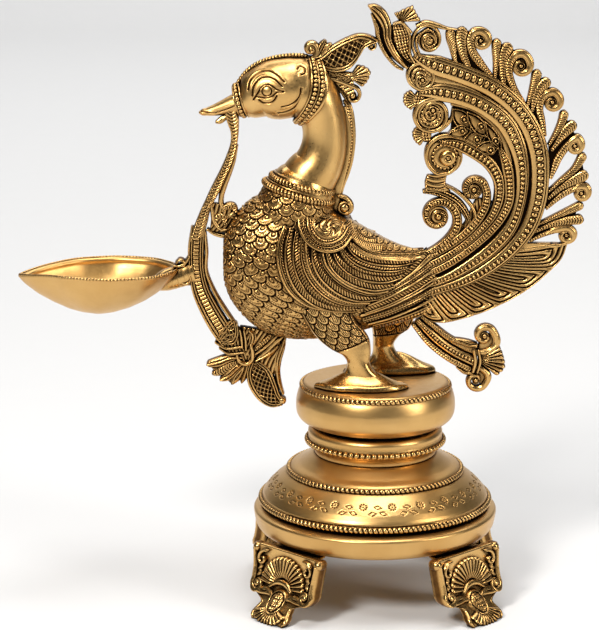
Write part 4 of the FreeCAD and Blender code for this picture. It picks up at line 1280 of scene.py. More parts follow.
def make_crest():
    form = Form()
    top = [(-35.6, 271.9), (-29.6, 273.2), (-22.0, 278.6), (-15.3, 282.2), (-9.4, 284.1), (-4.2, 283.5),
           (0.4, 281.2)]
    low = [(-33.4, 268.4), (-26.4, 266.2), (-19.7, 264.9), (-14.1, 266.4), (-10.2, 270.4), (-7.4, 275.8),
           (-0.6, 279.6)]
    patch(form, top, low, netted, 2.9)
    scroll(form, [(-31.6, 270.6, 1.6), (-29.9, 273.8, 1.7), (-29.5, 276.4, 1.6), (-30.7, 278.6, 1.5)],
           (-32.6, 276.6), 0.85, double_lip, 2.4, 1.2, 1.2, 0.5, 1.0)
    ringed_boss(form, -32.6, 276.6, 2.8, 1.9, 2.0, 0.6)
    ribbon(form, [(-30.5, 271.4, 0.9), (-28.2, 275.6, 1.9), (-26.4, 279.2, 1.9), (-25.6, 280.8, 0.8)],
           twin_barbs, 2.4)
    ribbon(form, [(-28.0, 272.4, 0.9), (-25.8, 275.6, 1.7), (-23.6, 278.2, 1.6), (-22.8, 279.2, 0.6)],
           double_ridge, 2.2)
    patch(form, [(-27.0, 266.4), (-20.0, 265.6), (-12.0, 265.0)],
          [(-24.0, 258.6), (-16.0, 253.6), (-11.4, 252.6)], leafy, 1.9)
    rim = [(-9.4, 272.8, 0.6), (-7.6, 276.2, 0.7), (-5.8, 279.6, 0.8), (-3.2, 280.4, 0.7), (-1.2, 278.6, 0.7)]
    ribbon(form, curl(rim, (-3.3, 277.8), -0.5, 0.6), smooth_rail, 2.2)
    boss(form, -3.2, 277.8, [(0.02, 1.2), (0.7, 0.9), (1.3, 0.0)], 1.8)
    fan(form, -14.0, 262.4, 1.2, [(-35, 8.0), (-3, 9.8), (16, 11.2), (36, 9.4), (56, 7.4)], -36, 58, 7, 2.2,
        1.0)
    ribbon(form, [(-24.0, 264.6, 1.0), (-19.0, 263.6, 1.5), (-14.6, 262.2, 1.5), (-12.6, 261.4, 0.5)],
           twin_barbs, 2.4)
    hook = [(-23.6, 262.0, 1.0), (-18.4, 260.6, 1.3), (-13.4, 258.6, 1.2), (-9.8, 256.8, 1.1),
            (-8.8, 254.0, 1.0), (-10.2, 251.2, 0.9)]
    ribbon(form, curl(hook, (-12.2, 253.4), -0.45, 0.6), smooth_rail, 2.4)
    boss(form, -12.2, 253.4, [(0.02, 1.5), (0.9, 1.2), (1.6, 0.2), (2.0, 0.0)], 2.0)
    ribbon(form, [(-21.0, 259.4, 0.8), (-17.6, 256.4, 1.4), (-15.0, 252.6, 1.5), (-13.6, 249.8, 0.8)],
           twin_barbs, 2.4)
    form.piece("crest_leaf", "bird", CARVED_SLOT, CARVED, "crest")


# ---------------------------------------------------------------- tail

def seam_strand(s, v, w):
    """Pearls and bars in a channel between smooth sides."""
    channel = ramp(w * 0.6 - np.abs(v), 0.2)
    return 1.1 * bump(v, w * 1.15) + channel * (pearls_and_bars(s, v, w, 0.58) - 0.65)


def leafy(s, v, w):
    """Slanting ribs, as on a folded leaf."""
    return 0.75 * waves(v + 0.55 * s, 2.2, 0.6)


TAIL_STRANDS = [                 # x, z, half width, from the head of the fan down to its root
    [(17.8, 273.2, 1.4), (21.6, 271.0, 2.6), (27.0, 268.9, 3.4), (40.0, 264.7, 3.9), (57.2, 257.0, 4.0),
     (67.2, 248.9, 4.0), (74.8, 238.3, 4.1), (79.3, 226.0, 4.1), (80.4, 213.4, 4.1), (79.2, 200.4, 4.2),
     (75.4, 188.6, 4.5), (68.4, 178.4, 4.6), (58.5, 169.3, 4.2), (45.0, 161.3, 3.6), (32.5, 156.7, 2.9),
     (20.8, 153.4, 2.4)],
    [(20.4, 255.2, 2.2), (27.4, 255.6, 3.0), (40.0, 253.6, 3.6), (53.3, 247.9, 3.7), (62.6, 240.2, 3.8),
     (69.0, 228.0, 3.9), (71.6, 213.4, 3.9), (70.4, 199.6, 3.8), (66.4, 188.2, 3.7), (58.8, 178.6, 3.5),
     (47.8, 169.8, 3.1), (34.0, 162.0, 2.5), (20.0, 157.4, 2.1)],
    [(59.8, 228.4, 1.6), (63.6, 219.6, 2.4), (65.3, 209.6, 2.7), (65.0, 200.8, 2.7), (61.8, 193.4, 2.7),
     (56.2, 186.0, 2.7), (48.4, 178.7, 2.5), (37.0, 170.3, 2.2), (20.4, 162.0, 1.9)],
    [(30.0, 231.0, 1.6), (37.8, 230.0, 2.6), (48.0, 225.2, 3.0), (55.8, 219.2, 3.0), (60.0, 211.2, 2.9),
     (60.2, 203.0, 2.8), (57.0, 194.0, 2.7), (51.6, 187.0, 2.6), (43.8, 179.6, 2.4), (33.0, 172.4, 2.1),
     (20.6, 166.4, 1.8)],
]


def widened(path, neighbours, most):
    """The strand's path, as wide as the room between it and the strands beside it allows."""
    line = smooth_path(path, 3.0)
    gap = np.full(len(line), 2.0 * most)
    for other in neighbours:
        o = smooth_path(other, 0.5)
        d = np.hypot(line[:, 0][:, None] - o[:, 0][None, :], line[:, 1][:, None] - o[:, 1][None, :])
        near = d.min(axis=1)
        inside = (d.argmin(axis=1) > 0) & (near < 2.4 * most)
        gap = np.where(inside, np.minimum(gap, near), gap)
    room = np.clip(gap * 0.5 + 0.15, line[:, 2] * 0.7, most)
    for _ in range(3):
        room[1:-1] = (room[:-2] + room[1:-1] + room[2:]) / 3
    taper = np.interp(run_length(line), [0, 11], [0.35, 1.0])
    return [(x, z, w) for x, z, w in zip(line[:, 0], line[:, 1], room * taper)]


def make_tail_strands():
    outer, inner = Form(), Form()
    kinds = ((outer, feather_strand, 4.9), (outer, feather_strand, 4.8), (inner, seam_strand, 3.2),
             (inner, seam_strand, 3.2))
    for i, (path, (form, relief, most)) in enumerate(zip(TAIL_STRANDS, kinds)):
        beside = [TAIL_STRANDS[k] for k in (i - 1, i + 1) if 0 <= k < len(TAIL_STRANDS)]
        ribbon(form, widened(path, beside, most), relief, 2.6, 0.29, 0.25, edge=0.8)
    ribbon(outer, [(22.6, 262.8, 1.6), (28.0, 262.0, 3.1), (33.6, 260.9, 2.5), (40.0, 259.2, 1.6),
                   (48.0, 255.9, 0.9), (56.6, 250.4, 0.5)], double_lip, 2.2)
    outer.piece("tail_outer_feathers", "bird", CARVED_SLOT, CARVED, "tail_fan")
    fifth = [(22.0, 171.0, 1.7), (30.0, 175.2, 2.0), (38.6, 180.8, 2.3), (46.2, 187.4, 2.5),
             (51.0, 193.6, 2.5), (53.8, 200.0, 2.4), (54.0, 206.0, 2.2), (51.6, 211.0, 2.0)]
    scroll(inner, fifth, (47.8, 206.8), 0.95, seam_strand, 2.5, 1.5, 1.5, 0.34)
    low = [(25.0, 175.0, 1.3), (31.0, 178.4, 1.8), (36.4, 183.0, 2.3), (39.6, 188.6, 2.5),
           (39.4, 194.2, 2.4), (36.6, 198.6, 2.3), (31.8, 200.8, 2.1)]
    scroll(inner, low, (30.4, 193.4), 0.95, seam_strand, 2.5, 1.8, 1.6, 0.32)
    ringed_boss(inner, 30.4, 193.4, 5.0, 1.7, 2.0, 0.7)
    ringed_boss(inner, 47.8, 206.8, 4.2, 1.7, 2.0, 0.7)
    inner.piece("tail_inner_feathers", "bird", CARVED_SLOT, CARVED, "tail_fan")
    gaps = Form()
    for first, second in zip(TAIL_STRANDS[:-1], TAIL_STRANDS[1:]):
        a, b = smooth_path(first, 0.5), smooth_path(second, 0.5)
        start = np.argmin(np.hypot(a[:, 0] - b[0, 0], a[:, 1] - b[0, 1]))
        backing(gaps, a[start:, :2], b[:, :2], 1.8, 0.7, 0.8)
    patch(gaps, [(57.0, 201.0), (52.6, 190.0), (42.0, 180.0), (21.0, 167.6)],
          [(49.0, 203.0), (43.0, 190.0), (36.0, 181.0), (23.0, 171.6)], leafy, 1.5, 0.4, 0.4)
    gaps.piece("tail_backing", "bird", CARVED_SLOT, CARVED, "tail_fan")


FLAMES = [                       # three strands of each flame, then the middle of its curl
    ([(37.8, 270.0, 0.9), (36.6, 276.6, 1.5), (35.4, 282.0, 1.9), (35.3, 286.6, 2.0)],
     [(44.2, 267.2, 1.2), (41.2, 275.4, 1.9), (40.3, 281.0, 2.3), (41.4, 287.2, 2.7)],
     [(56.0, 262.4, 0.9), (49.7, 269.8, 1.6), (45.8, 275.7, 1.8), (44.9, 280.8, 1.8), (46.4, 284.4, 1.8),
      (49.8, 285.2, 1.8), (53.2, 282.8, 1.9)], (49.9, 280.6)),
    ([(57.2, 262.4, 0.8), (57.7, 270.4, 1.3), (57.6, 276.4, 1.7), (58.1, 281.4, 2.1)],
     [(61.6, 258.4, 1.1), (60.8, 266.2, 1.7), (61.4, 272.8, 2.2), (64.1, 279.2, 2.8)],
     [(72.0, 249.0, 0.9), (65.9, 258.5, 1.5), (63.9, 264.9, 1.7), (64.6, 270.0, 1.8), (67.0, 273.5, 1.8),
      (70.8, 274.0, 1.8), (74.0, 270.4, 1.9)], (69.8, 268.2)),
    ([(73.2, 248.0, 0.7), (74.9, 254.0, 1.1), (76.7, 259.7, 1.7), (78.2, 266.2, 2.2)],
     [(75.7, 246.0, 0.9), (76.9, 252.0, 1.6), (79.4, 257.0, 2.1), (84.0, 261.6, 2.4)],
     [(82.2, 233.6, 0.8), (80.5, 241.7, 1.4), (79.2, 246.9, 1.6), (80.1, 251.5, 1.7), (82.6, 254.4, 1.7),
      (85.9, 255.3, 1.7), (89.2, 252.0, 1.8)], (85.5, 250.4)),
    ([(84.2, 229.0, 0.6), (87.8, 235.0, 1.1), (90.3, 240.0, 1.6), (91.9, 246.2, 2.0)],
     [(85.6, 226.4, 0.8), (89.6, 232.2, 1.5), (92.7, 236.2, 2.1), (97.4, 240.2, 2.4)],
     [(85.4, 212.4, 0.7), (87.1, 217.5, 1.4), (89.2, 222.7, 1.6), (92.2, 227.3, 1.6), (95.4, 230.8, 1.6),
      (98.3, 232.6, 1.6), (100.2, 229.5, 1.7)], (96.9, 228.8)),
    ([(84.4, 205.8, 0.6), (91.2, 211.8, 1.0), (96.9, 216.6, 1.4), (102.0, 225.0, 2.0)],
     [(84.4, 202.4, 0.7), (91.4, 208.2, 1.4), (97.6, 211.7, 2.1), (104.0, 215.0, 2.5)],
     [(83.4, 197.2, 0.7), (90.3, 203.5, 1.3), (95.8, 206.8, 1.4), (100.2, 208.4, 1.4), (103.3, 207.9, 1.3),
      (104.0, 205.2, 1.3)], (100.8, 205.2)),
    ([(80.0, 189.5, 0.6), (87.3, 192.8, 1.0), (94.0, 195.8, 1.4), (102.0, 199.4, 1.9)],
     [(78.3, 185.8, 0.7), (86.2, 189.2, 1.3), (93.0, 191.0, 1.8), (102.4, 192.0, 2.2)],
     [(75.6, 181.0, 0.7), (82.9, 184.6, 1.1), (89.7, 187.0, 1.4), (95.6, 187.0, 1.4), (97.4, 184.9, 1.3)],
     (93.9, 184.0)),
]


def chevrons(s, v, w):
    """A column of small overlapping shells between thin rails."""
    rail = 0.45 * bump(np.abs(v) - w * 0.86, w * 0.14 + 0.1)
    wave = waves(s + 0.5 * np.abs(v), 1.35, 0.6)
    inside = ramp(w * 0.76 - np.abs(v), 0.2)
    return np.maximum(rail, inside * (0.1 + 0.75 * wave * (0.6 + 0.4 * bump(v, w))))


def thin_rope(s, v, w):
    """A thin twisted rope."""
    twist = waves(s + 0.7 * v, 1.15, 0.6)
    return bump(v, w * 1.02) * (0.35 + 0.65 * twist)


def tipped(path, wider):
    """The path, made wider, with a rounded far end."""
    line = smooth_path([(x, z, w * wider) for x, z, w in path], 0.25)
    left = run_length(line)[-1] - run_length(line)
    line[:, 2] *= np.sqrt(np.clip(1 - np.clip(1 - left / line[-1, 2], 0, 1) ** 2, 0.05, 1))
    return line


def thinned(line, gap):
    """Some of a path's points, both ends among them."""
    return line[np.round(np.linspace(0, len(line) - 1, max(len(line) // gap, 3) + 1)).astype(int)]


def make_tail_flames():
    form = Form()
    for short, middle, long, centre in FLAMES:
        near = tipped(short, 1.3)
        ribbon(form, near, thin_rope, 2.0, 0.28, 0.24)
        size = short[-1][2]
        x, z = near[-max(int(size / 0.25), 2)][:2]
        boss(form, x, z, [(0.02, 1.1), (size * 0.45, 0.95), (size * 0.75, 0.3), (size * 0.9, -0.7)], 2.0)
        ribbon(form, tipped(middle, 1.25), chevrons, 2.3, 0.28, 0.24)
        turn = max(len(long) - 3, 2)
        ribbon(form, [(x, z, w * 1.3) for x, z, w in long[:turn + 1]], chevrons, 2.3, 0.28, 0.24)
        tail = [(long[turn - 1][0], long[turn - 1][1], 0.5)] + [(x, z, 2.1) for x, z, w in long[turn:]]
        ribbon(form, curl(tail, centre, -0.8, 0.46, 1.0), double_lip, 2.4, 0.28, 0.24)
        boss(form, *centre, [(0.02, 1.3), (0.6, 1.15), (1.05, 0.3), (1.4, 0.1), (1.7, 0.7), (2.1, 0.0),
                             (3.6, -0.7)], 2.2)
        low = thinned(near[:int(len(near) * 0.9), :2], 10)
        backing(form, low, [p[:2] for p in long[:turn + 2]], 1.5, 0.8)
    rim = [(70.0, 177.0, 0.8), (76.0, 177.6, 1.0), (83.1, 178.4, 1.1), (90.4, 178.8, 1.1),
           (94.4, 180.2, 1.0), (96.4, 181.6, 0.8)]
    ribbon(form, rim, smooth_rail, 2.2)
    form.piece("tail_flames", "bird", CARVED_SLOT, CARVED, "tail_fan")


def flat_ground(s, v, w):
    """No relief at all."""
    return 0 * v


def double_lip(s, v, w):
    """A smooth band with a fine line inside each edge."""
    return 0.8 * bump(v, w * 1.1) - 0.35 * peak(np.abs(v) - w * 0.6, 0.2)


def hairpins(s, v, w):
    """Nested hairpin ribs in leaves that lean outwards and get narrower along the strip. They
    are closed towards +v."""
    leaves, growth = 6.4, 1.3
    length = s.max() + 8.0
    along = np.clip((s + 0.35 * (v + w)) / length, 0.06, 1.2)
    count = leaves * along**growth
    pitch = length / (leaves * growth * along ** (growth - 1))
    inside = pitch * (0.5 - np.abs(count - np.floor(count) - 0.5))
    d = np.minimum(inside, (w - v) * 0.92)
    blend = peak(inside - (w - v) * 0.92, 1.4) * 0.45
    ribs = waves(d - blend, 2.25, 0.7)
    return 0.1 + 1.3 * ribs - 0.4 * peak(inside, 0.4)


def make_tail_border():
    form = Form()
    inner = [(73.0, 180.0), (70.6, 176.6), (60.6, 167.6), (46.4, 159.6), (33.2, 155.2), (21.0, 152.2)]
    outer = [(94.6, 179.6), (92.6, 173.4), (84.2, 163.8), (74.6, 155.8), (64.0, 149.6), (53.0, 144.6),
             (42.4, 141.2), (33.6, 139.4), (28.4, 139.8), (23.0, 141.8)]
    patch(form, inner, outer, hairpins, 1.9, 0.26, 0.26)
    form.piece("tail_leaf_border", "bird", CARVED_SLOT, CARVED, "tail_fan")


def double_ridge(s, v, w):
    """A smooth blade with a raised vein and raised edges."""
    return 1.1 * bump(v, w * 1.2) + 0.45 * peak(v, 0.45) - 0.3 * peak(np.abs(v) - 0.9, 0.3)


def beady(s, v, w):
    """Rows of small beads, as in the punched panels."""
    a = np.abs(np.cos(math.pi * s / 1.5)) * np.abs(np.cos(math.pi * v / 1.4))
    return 0.2 + 0.7 * a**0.6


def make_tail_top():
    form = Form()
    blade = [(-4.9, 297.6, 0.5), (-2.6, 296.6, 2.0), (0.4, 294.2, 2.9), (2.6, 291.2, 2.9),
             (4.2, 287.1, 2.5), (4.6, 281.8, 2.0), (6.9, 276.2, 1.7), (10.6, 271.0, 1.5), (14.4, 267.2, 0.9)]
    ribbon(form, blade, double_ridge, 2.6)
    backing(form, [(-2.6, 292.6), (0.8, 282.6), (4.4, 274.6), (12.6, 267.0)],
            [(3.8, 289.2), (8.0, 287.2), (9.2, 277.4), (17.6, 269.4)], 1.4, 0.75)
    edge = [(-3.2, 293.6, 0.6), (-1.8, 290.4, 1.0), (-0.5, 286.3, 1.2), (0.0, 282.6, 1.2),
            (1.4, 278.4, 1.1), (3.6, 274.2, 1.0), (6.4, 270.6, 1.0), (9.6, 267.6, 0.9), (12.4, 266.2, 0.6)]
    ribbon(form, edge, thin_rope, 2.0)
    fan(form, 10.6, 289.6, 0.8, [(4, 10.2), (24, 9.2), (42, 9.4), (52, 10.2), (66, 7.2), (92, 5.0),
                                 (125, 5.0)], 2, 126, 9, 2.0, 1.0)
    ribbon(form, [(7.2, 288.6, 0.6), (11.2, 289.4, 0.9), (13.6, 287.2, 0.9), (16.4, 284.4, 0.6)],
           smooth_rail, 2.8)
    patch(form, [(6.8, 288.2), (7.2, 283.0), (8.4, 278.0), (11.4, 273.2), (16.0, 269.4)],
          [(12.2, 288.2), (15.4, 283.6), (15.8, 278.4), (16.2, 273.4), (18.4, 269.8)], beady, 2.2)
    ribbon(form, [(13.2, 287.4, 0.5), (15.2, 283.6, 0.8), (15.4, 278.6, 0.8), (15.8, 273.6, 0.8),
                  (18.0, 269.4, 0.6)], smooth_rail, 2.8)
    for shift, w, relief in ((0.0, 0.9, smooth_rail), (1.9, 0.8, thin_rope)):
        rim = [(21.5 + shift * 0.6, 270.6 + shift * 0.2, w), (18.6 + shift, 273.4, w),
               (17.0 + shift, 277.6, w), (17.2 + shift, 282.6, w), (20.2 + shift * 0.8, 286.6 - shift, w),
               (24.2, 288.0 - shift, w), (28.2 - shift * 0.7, 286.0 - shift * 0.7, w),
               (30.0 - shift, 281.8, w)]
        ribbon(form, curl(rim, (24.8, 280.4), -0.85, 0.36), relief, 2.5)
    ringed_boss(form, 24.8, 280.4, 5.4, 1.8, 2.5, 0.9)
    ribbon(form, [(18.4, 287.6, 1.0), (22.8, 289.2, 1.3), (28.3, 288.0, 1.3), (33.2, 286.5, 0.9),
                  (38.4, 286.0, 0.4)], smooth_rail, 2.4)
    form.piece("tail_top_leaf", "bird", CARVED_SLOT, CARVED, "tail_fan")


def leaf_rim(s, v, w):
    """A raised rim with a groove inside it, round a gently domed leaf."""
    d = w - np.abs(v)
    return 1.15 * bump(d - 0.5, 0.5) + 0.5 * bump(v, w * 0.9) - 1.1 * peak(d - 1.2, 0.32)


def eye_leaf(form, start, eye, end, radius, lift):
    """A small pointed leaf with a ringed eye."""
    widths = [0.4, radius * 1.45, radius * 1.95, radius * 1.75, 0.5]
    line = np.linspace(start, end, len(widths))
    ribbon(form, np.column_stack([line, widths]), leaf_rim, lift)
    rings = [(0.02, 1.4), (0.5, 1.2), (0.9, 0.0), (1.2, 0.0), (1.55, 0.9), (1.95, 0.6), (2.25, -0.3),
             (2.5, -0.3)]
    boss(form, *eye, rings, lift + 0.3)


def make_tail_inner():
    form = Form()
    rim = [(31.0, 255.0, 1.0), (25.6, 256.0, 1.2), (19.6, 257.2, 1.3), (15.6, 260.6, 1.2),
           (14.9, 265.2, 1.1), (18.2, 269.0, 1.1), (22.8, 269.2, 1.1), (26.6, 266.2, 1.1), (27.0, 262.0, 1.1)]
    ribbon(form, curl(rim, (21.6, 261.6), -0.7, 0.34), smooth_rail, 2.6)
    ringed_boss(form, 21.0, 262.8, 6.4, 1.9, 3.0, 0.8)
    boss(form, 21.8, 261.4, [(0.02, 1.4), (0.6, 1.2), (1.1, 0.3), (1.6, 0.9), (2.1, 0.0)], 2.7)
    ring_of_balls(form, 20.8, 263.2, 3.6, 0.62, 12, 2.9)
    rim = [(47.0, 249.0, 0.8), (36.0, 251.6, 1.2), (27.4, 252.0, 1.6), (20.4, 249.0, 1.5),
           (18.4, 243.4, 1.3), (20.6, 238.2, 1.2), (26.0, 236.0, 1.2), (31.6, 238.2, 1.2), (33.8, 243.6, 1.2)]
    ribbon(form, curl(rim, (27.0, 245.2), 0.7, 0.36), smooth_rail, 2.6)
    ringed_boss(form, 26.0, 244.0, 7.8, 1.9, 4.0, 0.8)
    boss(form, 27.1, 246.4, [(0.02, 1.4), (0.7, 1.2), (1.3, 0.3), (1.9, 0.9), (2.5, 0.0)], 2.7)
    ring_of_balls(form, 26.2, 243.9, 4.5, 0.6, 16, 2.8)
    fan(form, 20.4, 251.4, 0.8, [(132, 6.4), (160, 8.0), (191, 8.0), (226, 6.6)], 130, 232, 8, 2.0, 0.9)
    patch(form, [(19.0, 255.4), (17.0, 251.6), (17.6, 248.0)],
          [(23.4, 255.4), (23.0, 251.6), (21.6, 248.4)], beady, 2.3)
    fan(form, 24.6, 234.6, 0.8, [(140, 6.4), (175, 7.6), (205, 7.4), (236, 7.0)], 138, 240, 7, 2.0, 0.8)
    patch(form, [(21.6, 237.4), (21.2, 234.0), (22.6, 230.8)],
          [(26.4, 238.0), (26.6, 234.4), (26.4, 230.6)], beady, 2.3)
    rim = [(52.0, 226.4, 0.8), (45.0, 231.2, 1.3), (36.0, 233.8, 1.5), (29.0, 232.6, 1.5),
           (25.2, 228.8, 1.3), (24.2, 223.4, 1.2), (26.0, 218.2, 1.2), (30.2, 214.9, 1.2),
           (35.2, 215.4, 1.2), (39.0, 219.0, 1.2), (40.2, 223.6, 1.2)]
    ribbon(form, rim, smooth_rail, 2.8)
    ringed_boss(form, 33.4, 223.4, 8.6, 1.9, 2.0, 0.7)
    ring_of_balls(form, 33.2, 223.4, 5.9, 0.72, 20, 2.7)
    boss(form, 34.8, 222.8, [(0.02, 1.5), (0.8, 1.3), (1.0, 0.9), (1.5, 1.5), (3.2, 1.3), (4.0, 0.5),
                             (4.3, -0.3)], 2.6)
    patch(form, [(24.6, 214.2), (23.6, 211.0), (23.8, 206.4)], [(34.4, 214.0), (34.0, 210.0), (36.4, 206.0)],
          lambda s, v, w: 0.6 * waves(s + 0.05 * v**2, 2.6, 0.7), 2.4)
    band = [(22.6, 205.8, 1.0), (27.0, 206.2, 2.0), (33.4, 204.4, 2.3), (40.4, 199.8, 2.3),
            (44.6, 193.8, 1.8), (46.2, 189.0, 1.0)]
    ribbon(form, band, twin_barbs, 2.4)
    ribbon(form, [(33.0, 209.6, 0.6), (39.0, 206.2, 1.0), (44.4, 201.6, 1.1), (48.2, 196.0, 0.9),
                  (49.4, 190.6, 0.5)], smooth_rail, 2.6)
    form.piece("tail_scrolls", "bird", CARVED_SLOT, CARVED, "tail_fan")


def make_eye_leaves():
    form = Form()
    for i, (start, eye, end, radius) in enumerate((
        ((36.6, 247.4), (42.4, 242.0), (45.6, 237.4), 2.2),
        ((43.6, 246.0), (50.8, 238.6), (53.8, 233.6), 1.9),
        ((52.6, 241.0), (58.0, 231.4), (60.8, 226.4), 1.5),
        ((34.6, 234.4), (41.6, 236.4), (45.8, 237.0), 1.9),
        ((42.0, 231.8), (49.0, 232.0), (53.4, 234.4), 2.1),
        ((48.2, 228.0), (55.6, 226.9), (59.4, 228.2), 1.9),
    )):
        eye_leaf(form, start, eye, end, radius, 2.75 + 0.35 * (i % 2))
    backing(form, [(37.0, 246.6), (45.0, 243.8), (54.0, 238.0), (60.6, 228.0)],
            [(35.6, 233.6), (42.0, 230.6), (50.0, 227.0), (58.8, 224.6)], 1.6, 0.55)
    ribbon(form, [(36.0, 249.6, 1.0), (45.0, 247.4, 1.6), (54.0, 242.0, 1.9), (60.8, 233.6, 1.9),
                  (64.6, 223.6, 1.7), (66.6, 214.0, 0.9)], smooth_rail, 2.1)
    backing(form, [(37.0, 249.8), (46.0, 248.0), (56.0, 241.6), (63.0, 232.4), (66.4, 221.0)],
          [(36.0, 244.0), (45.0, 241.0), (53.4, 235.0), (58.6, 228.4), (61.4, 220.0)], 1.3, 0.7)
    ribbon(form, [(30.0, 235.6, 0.8), (33.6, 239.0, 1.2), (36.4, 242.6, 1.0), (36.8, 247.0, 0.6)],
           smooth_rail, 2.4)
    form.piece("tail_eye_leaves", "bird", CARVED_SLOT, CARVED, "tail_fan")


def make_plume():
    form = Form()
    path = [(20.6, 140.8, 1.8), (25.6, 135.6, 1.8), (31.6, 130.0, 1.8), (39.4, 124.6, 2.0),
            (49.4, 119.6, 2.0)]
    line = smooth_path(path, 1.0)
    left = side_of(line)
    for shift, w, relief in ((-4.6, 1.9, chevrons), (0.0, 2.6, feather_strand), (4.6, 1.9, thin_rope)):
        grow = np.interp(run_length(line), [0, 10, 36], [0.62, 0.86, 1.04])
        band = np.column_stack([line[:, :2] + left * shift * grow[:, None], w * grow])
        ribbon(form, np.vstack([band[:-2:4], band[-1:]]), relief, 2.6)
    patch(form, [(50.0, 124.0), (51.4, 129.0), (54.0, 134.0)],
          [(55.0, 121.0), (59.0, 126.0), (59.6, 133.0)], flat_ground, 1.6, 0.5, 0.5)
    patch(form, [(49.6, 116.6), (49.0, 112.0), (49.6, 108.4)],
          [(54.0, 118.0), (56.0, 113.0), (54.6, 108.0)], flat_ground, 1.6, 0.5, 0.5)
    ribbon(form, [(48.6, 114.2, 1.0), (49.8, 119.4, 1.2), (49.0, 125.6, 1.0)], smooth_rail, 3.4)
    ribbon(form, [(50.8, 113.8, 0.8), (52.2, 119.6, 1.0), (51.2, 126.0, 0.8)], smooth_rail, 3.2)
    fan(form, 50.6, 120.4, 2.0, [(-38, 13.4), (-17, 15.0), (7, 13.6), (24, 13.2), (38, 13.6)], -40, 42, 8,
        2.3, 1.3)
    scroll(form, [(49.4, 124.6, 1.1), (53.8, 124.2, 1.8), (58.4, 125.8, 2.1), (60.4, 129.8, 2.1),
                  (59.2, 133.8, 2.0)], (54.2, 132.6), 0.95, double_lip, 2.5, 1.5, 1.2, 0.34, 1.1)
    scroll(form, [(50.2, 116.6, 1.1), (54.0, 115.0, 1.6), (56.4, 111.8, 1.8), (55.2, 108.2, 1.8)],
           (50.2, 109.8), -0.9, double_lip, 2.5, 1.4, 1.2, 0.34, 1.0)
    ribbon(form, [(36.6, 131.0, 0.7), (41.6, 129.6, 1.8), (46.6, 128.0, 2.4), (50.6, 127.4, 1.6)],
           double_ridge, 2.5)
    ribbon(form, [(40.6, 116.6, 0.6), (44.6, 114.0, 1.3), (48.8, 113.4, 1.2)], double_ridge, 2.4)
    form.piece("plume_cast", "bird", CARVED_SLOT, CARVED, "under_tail_plume")


# ---------------------------------------------------------------- garland, pendant and bowl

def crescents(s, v, w):
    """Small overlapping crescents down a strip, with a thin rim each side."""
    rim = 0.5 * bump(np.abs(v) - w * 0.9, w * 0.1 + 0.12)
    cell = ramp(np.abs(v), w * 0.8)
    wave = waves(s + 0.55 * w * cell**2, 1.7, 0.6)
    inside = ramp(w * 0.82 - np.abs(v), 0.25)
    middle = 0.25 * peak(v, 0.3)
    return np.maximum(rim, inside * (0.1 + 0.6 * wave)) + 0.5 * bump(v, w * 1.1) - middle


def garland_strand(s, v, w):
    """Two smooth rails on each side of a row of small squares."""
    rails = 0.85 * bump(np.abs(v) - w * 0.84, w * 0.14) + 0.8 * bump(np.abs(v) - w * 0.54, w * 0.12)
    bars = waves(s, 1.9, 0.5)
    inside = ramp(w * 0.36 - np.abs(v), 0.2)
    return np.maximum(rails, inside * (0.05 + 0.75 * bars))


